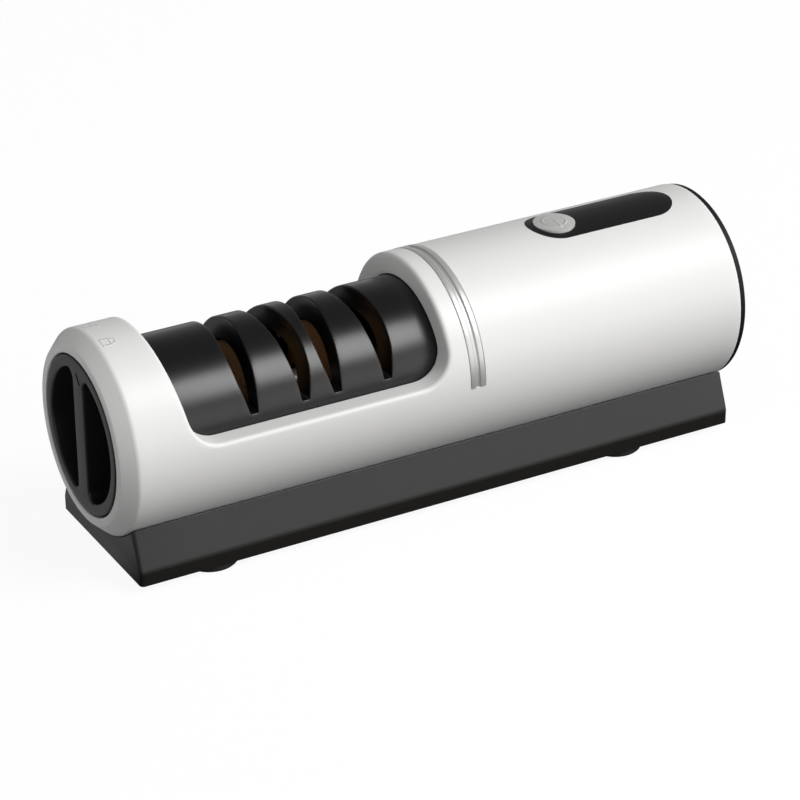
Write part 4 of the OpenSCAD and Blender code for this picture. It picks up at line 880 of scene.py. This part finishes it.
def power_mark_group():
    """Raised power mark on the button: an open ring and a bar to the front."""
    tree, parts, out = mark_tree("power_mark")
    u = past_place(tree, parts, BUTTON_X)
    v = parts["Y"]
    line_w, ring_r, bar_y, bar_half = (size * MM for size in (0.75, 4.1, 2.4, 2.2))
    gap_y, gap_half, gap_l = (size * MM for size in (4, 1.3, 2.5))
    ring = stroke(tree, ring_reach(tree, u, v, ring_r), line_w)
    gap = box_reach(tree, u, maths(tree, "ADD", v, gap_y), gap_half, gap_l)
    ring = maths(tree, "MULTIPLY", ring, maths(tree, "GREATER_THAN", gap, 0.0))
    bar = box_reach(tree, u, maths(tree, "ADD", v, bar_y), 0, bar_half)
    feed(out, {"Height": maths(tree, "MAXIMUM", ring, stroke(tree, bar, line_w))})
    return tree


def lock_mark_group():
    """Raised locks on the collar, one shut and one open, laid out along the axis (u) and round
    the housing (v): each an outlined plate with a shackle, and the open one's shackle set aside."""
    tree, parts, out = mark_tree("lock_marks")
    lock_x, shut, opened = 8.2, (10, 0.0), (-14, 1.1)
    line_w, plate_l, plate_half = (size * MM for size in (0.55, 1.4, 1.7))
    shackle_x, shackle_r = 2.1 * MM, 1.1 * MM
    height = maths(tree, "SUBTRACT", parts["Z"], AXIS_H * MM)
    angle = maths(tree, "ARCTAN2", maths(tree, "MULTIPLY", parts["Y"], -1.0), height)
    u = past_place(tree, parts, lock_x)
    marks = []
    for degrees, aside in (shut, opened):
        turn = maths(tree, "SUBTRACT", angle, math.radians(degrees))
        v = maths(tree, "MULTIPLY", turn, BODY_R * MM)
        plate = maths(tree, "ABSOLUTE", box_reach(tree, u, v, plate_l, plate_half))
        shackle_u = maths(tree, "SUBTRACT", u, shackle_x)
        shackle_v = maths(tree, "SUBTRACT", v, aside * MM)
        arc = stroke(tree, ring_reach(tree, shackle_u, shackle_v, shackle_r), line_w)
        arc = maths(tree, "MULTIPLY", arc, maths(tree, "GREATER_THAN", u, plate_l))
        marks.append(maths(tree, "MAXIMUM", stroke(tree, plate, line_w), arc))
    above = maths(tree, "GREATER_THAN", height, 0.5 * BODY_R * MM)
    both = maths(tree, "MAXIMUM", *marks)
    feed(out, {"Height": maths(tree, "MULTIPLY", both, above)})
    return tree


def bumped(tree, source, height):
    """The normal that a group node's own height gives as a relief of a height in mm."""
    inputs = {"Strength": 1.0, "Distance": height * MM, "Height": source.outputs["Height"]}
    return feed(tree.nodes.new("ShaderNodeBump"), inputs)["Normal"]


def add_mark(material, group, height):
    """Sets a mark's relief, of a height in mm, under a material's own relief."""
    tree = material.node_tree
    mark = tree.nodes.new("ShaderNodeGroup")
    mark.node_tree = group
    grain = tree.nodes["Principled BSDF"].inputs["Normal"].links[0].from_node
    feed(grain, {"Normal": bumped(tree, mark, height)})


def new_material(name):
    """A material with nodes, its tree and its shader."""
    material = bpy.data.materials.new(name)
    material.use_nodes = True
    return material, material.node_tree, material.node_tree.nodes["Principled BSDF"]


def finish(name, group, colour, metallic=0.0, bump=0.02, specular=0.5, **values):
    """A material whose colour, roughness and bump come from a group; bump is the relief in mm."""
    material, tree, shader = new_material(name)
    surface = tree.nodes.new("ShaderNodeGroup")
    surface.node_tree = group
    made = feed(surface, {"Colour": (*colour, 1), **values})
    feed(shader, {"Base Color": made["Colour"], "Roughness": made["Roughness"],
                  "Normal": bumped(tree, surface, bump), "Metallic": metallic,
                  "Specular IOR Level": specular})
    return material


def make_finishes():
    """One finish for each material slot of the record."""
    moulded, worked, grit = moulded_group(), brushed_group(), grit_group()

    def plastic(name, colour, rough, bump=0.01, **values):
        return finish(name, moulded, colour, bump=bump, Roughness=rough, **values)

    def metal(name, colour, rough, **values):
        return finish(name, worked, colour, metallic=1.0, Roughness=rough, **values)

    around_x = (0.02, 1, 1)
    warm_grey = plastic("warm_grey_moulding", (0.013, 0.0122, 0.0112), 0.36,
                        Grain=2200, Tone=0.05, Marks=0.06, bump=0.004)
    return {
        "white_shell": plastic("white_moulding", (0.855, 0.85, 0.84), 0.42, Grain=2600, Tone=0.015,
                               Marks=0.06, bump=0.006),
        "bright_band": finish("silver_trim", worked, (0.62, 0.62, 0.61), metallic=0.5,
                              Roughness=0.34, Lines=600, Stretch=(1, 0.05, 0.05), Tone=0.03,
                              bump=0.0005),
        "end_cap": plastic("black_satin_cap", (0.01, 0.01, 0.01), 0.55, bump=0.006, specular=0.2),
        "panel": plastic("black_gloss_panel", (0.012, 0.012, 0.0115), 0.4, Marks=0.06, bump=0.001,
                         specular=0.16),
        "cradle": plastic("white_inner_moulding", (0.7, 0.7, 0.69), 0.55),
        "bulkhead": plastic("dark_inner_moulding", (0.04, 0.04, 0.04), 0.55),
        "base": warm_grey,
        "base_plate": warm_grey,
        "feet": plastic("black_rubber", (0.012, 0.012, 0.012), 0.75, Grain=1800, Tone=0.15,
                        bump=0.02),
        "motor_steel": metal("rolled_steel", (0.5, 0.5, 0.49), 0.34, Stretch=around_x),
        "magnets": plastic("pressed_ferrite", (0.03, 0.03, 0.034), 0.6),
        "nylon": plastic("natural_nylon", (0.62, 0.6, 0.53), 0.45),
        "contacts": metal("plated_contact", (0.6, 0.58, 0.5), 0.28),
        "bushes": metal("sintered_bronze", (0.45, 0.27, 0.12), 0.45, Lines=3000, Tone=0.4,
                        bump=0.01),
        "screws": metal("zinc_plated_screw", (0.55, 0.55, 0.55), 0.3),
        "shaft_steel": metal("ground_steel", (0.6, 0.6, 0.61), 0.22, Stretch=(1, 0.05, 0.05)),
        "laminations": metal("stacked_sheet", (0.2, 0.2, 0.21), 0.4, Stretch=(1, 0.02, 0.02),
                             Lines=2500, Tone=0.6, bump=0.02),
        "copper": metal("enamelled_copper", (0.52, 0.2, 0.07), 0.3, Stretch=around_x, Lines=2500,
                        Tone=0.4, bump=0.03),
        "tray_plastic": plastic("black_tray_moulding", (0.03, 0.03, 0.03), 0.55),
        "cell_wrap": plastic("blue_shrink_wrap", (0.03, 0.09, 0.34), 0.3),
        "board": plastic("green_board", (0.015, 0.11, 0.045), 0.3, Grain=900, Tone=0.3),
        "switch_plastic": plastic("switch_moulding", (0.03, 0.03, 0.03), 0.5),
        "button": finish("silver_button", worked, (0.7, 0.7, 0.69), metallic=0.3, Roughness=0.42,
                         Lines=1500, Tone=0.03, bump=0.0005),
        "lead_insulation": plastic("red_insulation", (0.35, 0.02, 0.02), 0.45),
        "cartridge": plastic("black_satin_cover", (0.004, 0.004, 0.004), 0.29, Grain=2600, Tone=0.1,
                             Marks=0.05, bump=0.002),
        "hubs": plastic("dark_hub_moulding", (0.05, 0.05, 0.055), 0.5),
        "coarse_stone": finish("coarse_grit", grit, (0.38, 0.19, 0.075), Grit=2200, bump=0.06),
        "fine_stone": finish("fine_grit", grit, (0.36, 0.18, 0.075), Grit=3600, bump=0.03),
        "clips": metal("blackened_steel", (0.12, 0.12, 0.12), 0.4),
        "knob": warm_grey,
    }


finishes = make_finishes()
add_mark(finishes["button"], power_mark_group(), 0.2)
add_mark(finishes["white_shell"], lock_mark_group(), 0.25)
for node, solid in frame["nodes"].items():
    for material_slot in solid.material_slots:
        material_slot.material = finishes[slot_of_node[node]]

make_housing()
make_band()
make_panel()
make_cartridge_top()
make_knob()
make_base()


# Stage, lights and camera

SIDE_LEVELS = (0.8, 2.7)
OVERHEAD_LEVEL = 0.205
BEHIND_SHARE = 0.2
TABLE_LEVEL = 0.03
CARD_LEVEL = 0.36
FAR_LEVEL = 1.3
WHITE_LEVEL = 1.05
WHITE_SHARE = 0.88


def camera_sees(tree, seen, other, out):
    """Gives an output one shader for the camera's rays and another for all other rays."""
    camera_ray = tree.nodes.new("ShaderNodeLightPath").outputs["Is Camera Ray"]
    mixed = feed(tree.nodes.new("ShaderNodeMixShader"), {0: camera_ray, 1: other, 2: seen})
    feed(out, {"Surface": mixed[0]})


def make_stage():
    """Pale floor. The camera sees it as white apart from the object's shadow. Other rays see a
    dim table, a pale card behind the object's left end, and the white backdrop further out."""
    mesh = bpy.data.meshes.new("studio_floor")
    half = 4.0
    corners = [(-half, -half, 0), (half, -half, 0), (half, half, 0), (-half, half, 0)]
    mesh.from_pydata(corners, [], [(0, 1, 2, 3)])
    floor = add_object("studio_floor", mesh)
    material, tree, matt = new_material("pale_floor")
    feed(matt, {"Base Color": (0.8, 0.8, 0.8, 1), "Roughness": 0.9, "Specular IOR Level": 0.0})
    where = tree.nodes.new("ShaderNodeTexCoord").outputs["Object"]
    reach = tree.nodes.new("ShaderNodeVectorMath")
    reach.operation = "LENGTH"
    reach = feed(reach, {0: where})["Value"]
    parts = feed(tree.nodes.new("ShaderNodeSeparateXYZ"), {0: where})
    card_x, card_y, table_reach = (-0.085, -0.12), (-0.03, 0.0), (0.13, 1.3)
    card = maths(tree, "MULTIPLY", ramp_between(tree, parts["X"], *card_x, 0.0, CARD_LEVEL),
                 ramp_between(tree, parts["Y"], *card_y, 0.0, 1.0))
    far = ramp_between(tree, reach, *table_reach, TABLE_LEVEL, FAR_LEVEL)
    white = feed(tree.nodes.new("ShaderNodeEmission"), {"Strength": WHITE_LEVEL})[0]
    level = maths(tree, "MAXIMUM", card, far)
    dim = feed(tree.nodes.new("ShaderNodeEmission"), {"Strength": level})[0]
    shares = {0: WHITE_SHARE, 1: matt.outputs[0], 2: white}
    seen = feed(tree.nodes.new("ShaderNodeMixShader"), shares)[0]
    camera_sees(tree, seen, dim, tree.nodes["Material Output"])
    mesh.materials.append(material)


def make_world():
    """White backdrop: brightest towards the right, fading overhead. The camera sees plain white."""
    world = bpy.data.worlds.new("studio")
    bpy.context.scene.world = world
    world.use_nodes = True
    tree = world.node_tree
    tree.nodes.clear()
    where = tree.nodes.new("ShaderNodeTexCoord").outputs["Generated"]
    parts = feed(tree.nodes.new("ShaderNodeSeparateXYZ"), {0: where})
    side_span, height_span, behind_span = (-0.8, 1.0), (0.17, 0.66), (0.0, 0.7)
    side = ramp_between(tree, parts["X"], *side_span, *SIDE_LEVELS)
    height = ramp_between(tree, parts["Z"], *height_span, 1.0, 0.0)
    behind = ramp_between(tree, parts["Y"], *behind_span, 1.0, BEHIND_SHARE)
    backdrop = maths(tree, "MULTIPLY", side, behind)
    above_table = maths(tree, "SUBTRACT", backdrop, OVERHEAD_LEVEL)
    level = maths(tree, "ADD", maths(tree, "MULTIPLY", above_table, height), OVERHEAD_LEVEL)
    dim = feed(tree.nodes.new("ShaderNodeBackground"), {"Strength": level})[0]
    white = tree.nodes.new("ShaderNodeBackground").outputs[0]
    camera_sees(tree, white, dim, tree.nodes.new("ShaderNodeOutputWorld"))


def make_softbox(name, toward, distance, size, power):
    """A square lamp in a direction from the part's middle, turned towards it."""
    lamp = bpy.data.lights.new(name, "AREA")
    lamp.shape, lamp.size, lamp.energy = "SQUARE", size, power
    box = add_object(name, lamp)
    direction = Vector(toward).normalized()
    box.location = Vector((0, 0, 0.04)) + direction * distance
    box.rotation_mode = "QUATERNION"
    box.rotation_quaternion = direction.to_track_quat("Z", "Y")


def make_camera():
    """The photograph's camera: worked out from the object's round ends and long edges."""
    frame_px, focal_px, target_px = 800, 3154.725, (399.903, 366.582)
    target, distance = Vector((0, 0, AXIS_H - 5)) * MM, 1.063889
    azimuth, elevation, roll = (math.radians(v) for v in (-29.158, 27.625, -0.338))
    level = math.cos(elevation)
    ahead = -Vector((math.sin(azimuth) * level, -math.cos(azimuth) * level, math.sin(elevation)))
    right = ahead.cross(Vector((0, 0, 1))).normalized()
    up = right.cross(ahead)
    c, s = math.cos(roll), math.sin(roll)
    right, up = right * c + up * s, up * c - right * s
    aside = (target_px[0] - frame_px / 2) / focal_px
    above = (frame_px / 2 - target_px[1]) / focal_px
    data = bpy.data.cameras.new("camera")
    data.sensor_width = 36
    data.lens = focal_px / frame_px * data.sensor_width
    data.clip_start, data.clip_end = 0.05, 20
    camera = add_object("camera", data)
    turn = Matrix((right, up, -ahead)).transposed()
    place_at = target - distance * (ahead + aside * right + above * up)
    camera.matrix_world = Matrix.Translation(place_at) @ turn.to_4x4()
    bpy.context.scene.camera = camera


make_stage()
make_world()
make_softbox("key_softbox", (0.421, -0.52, 0.743), distance=2.4, size=1.16, power=36.5)
make_camera()
bpy.context.scene.view_settings.view_transform = "Standard"
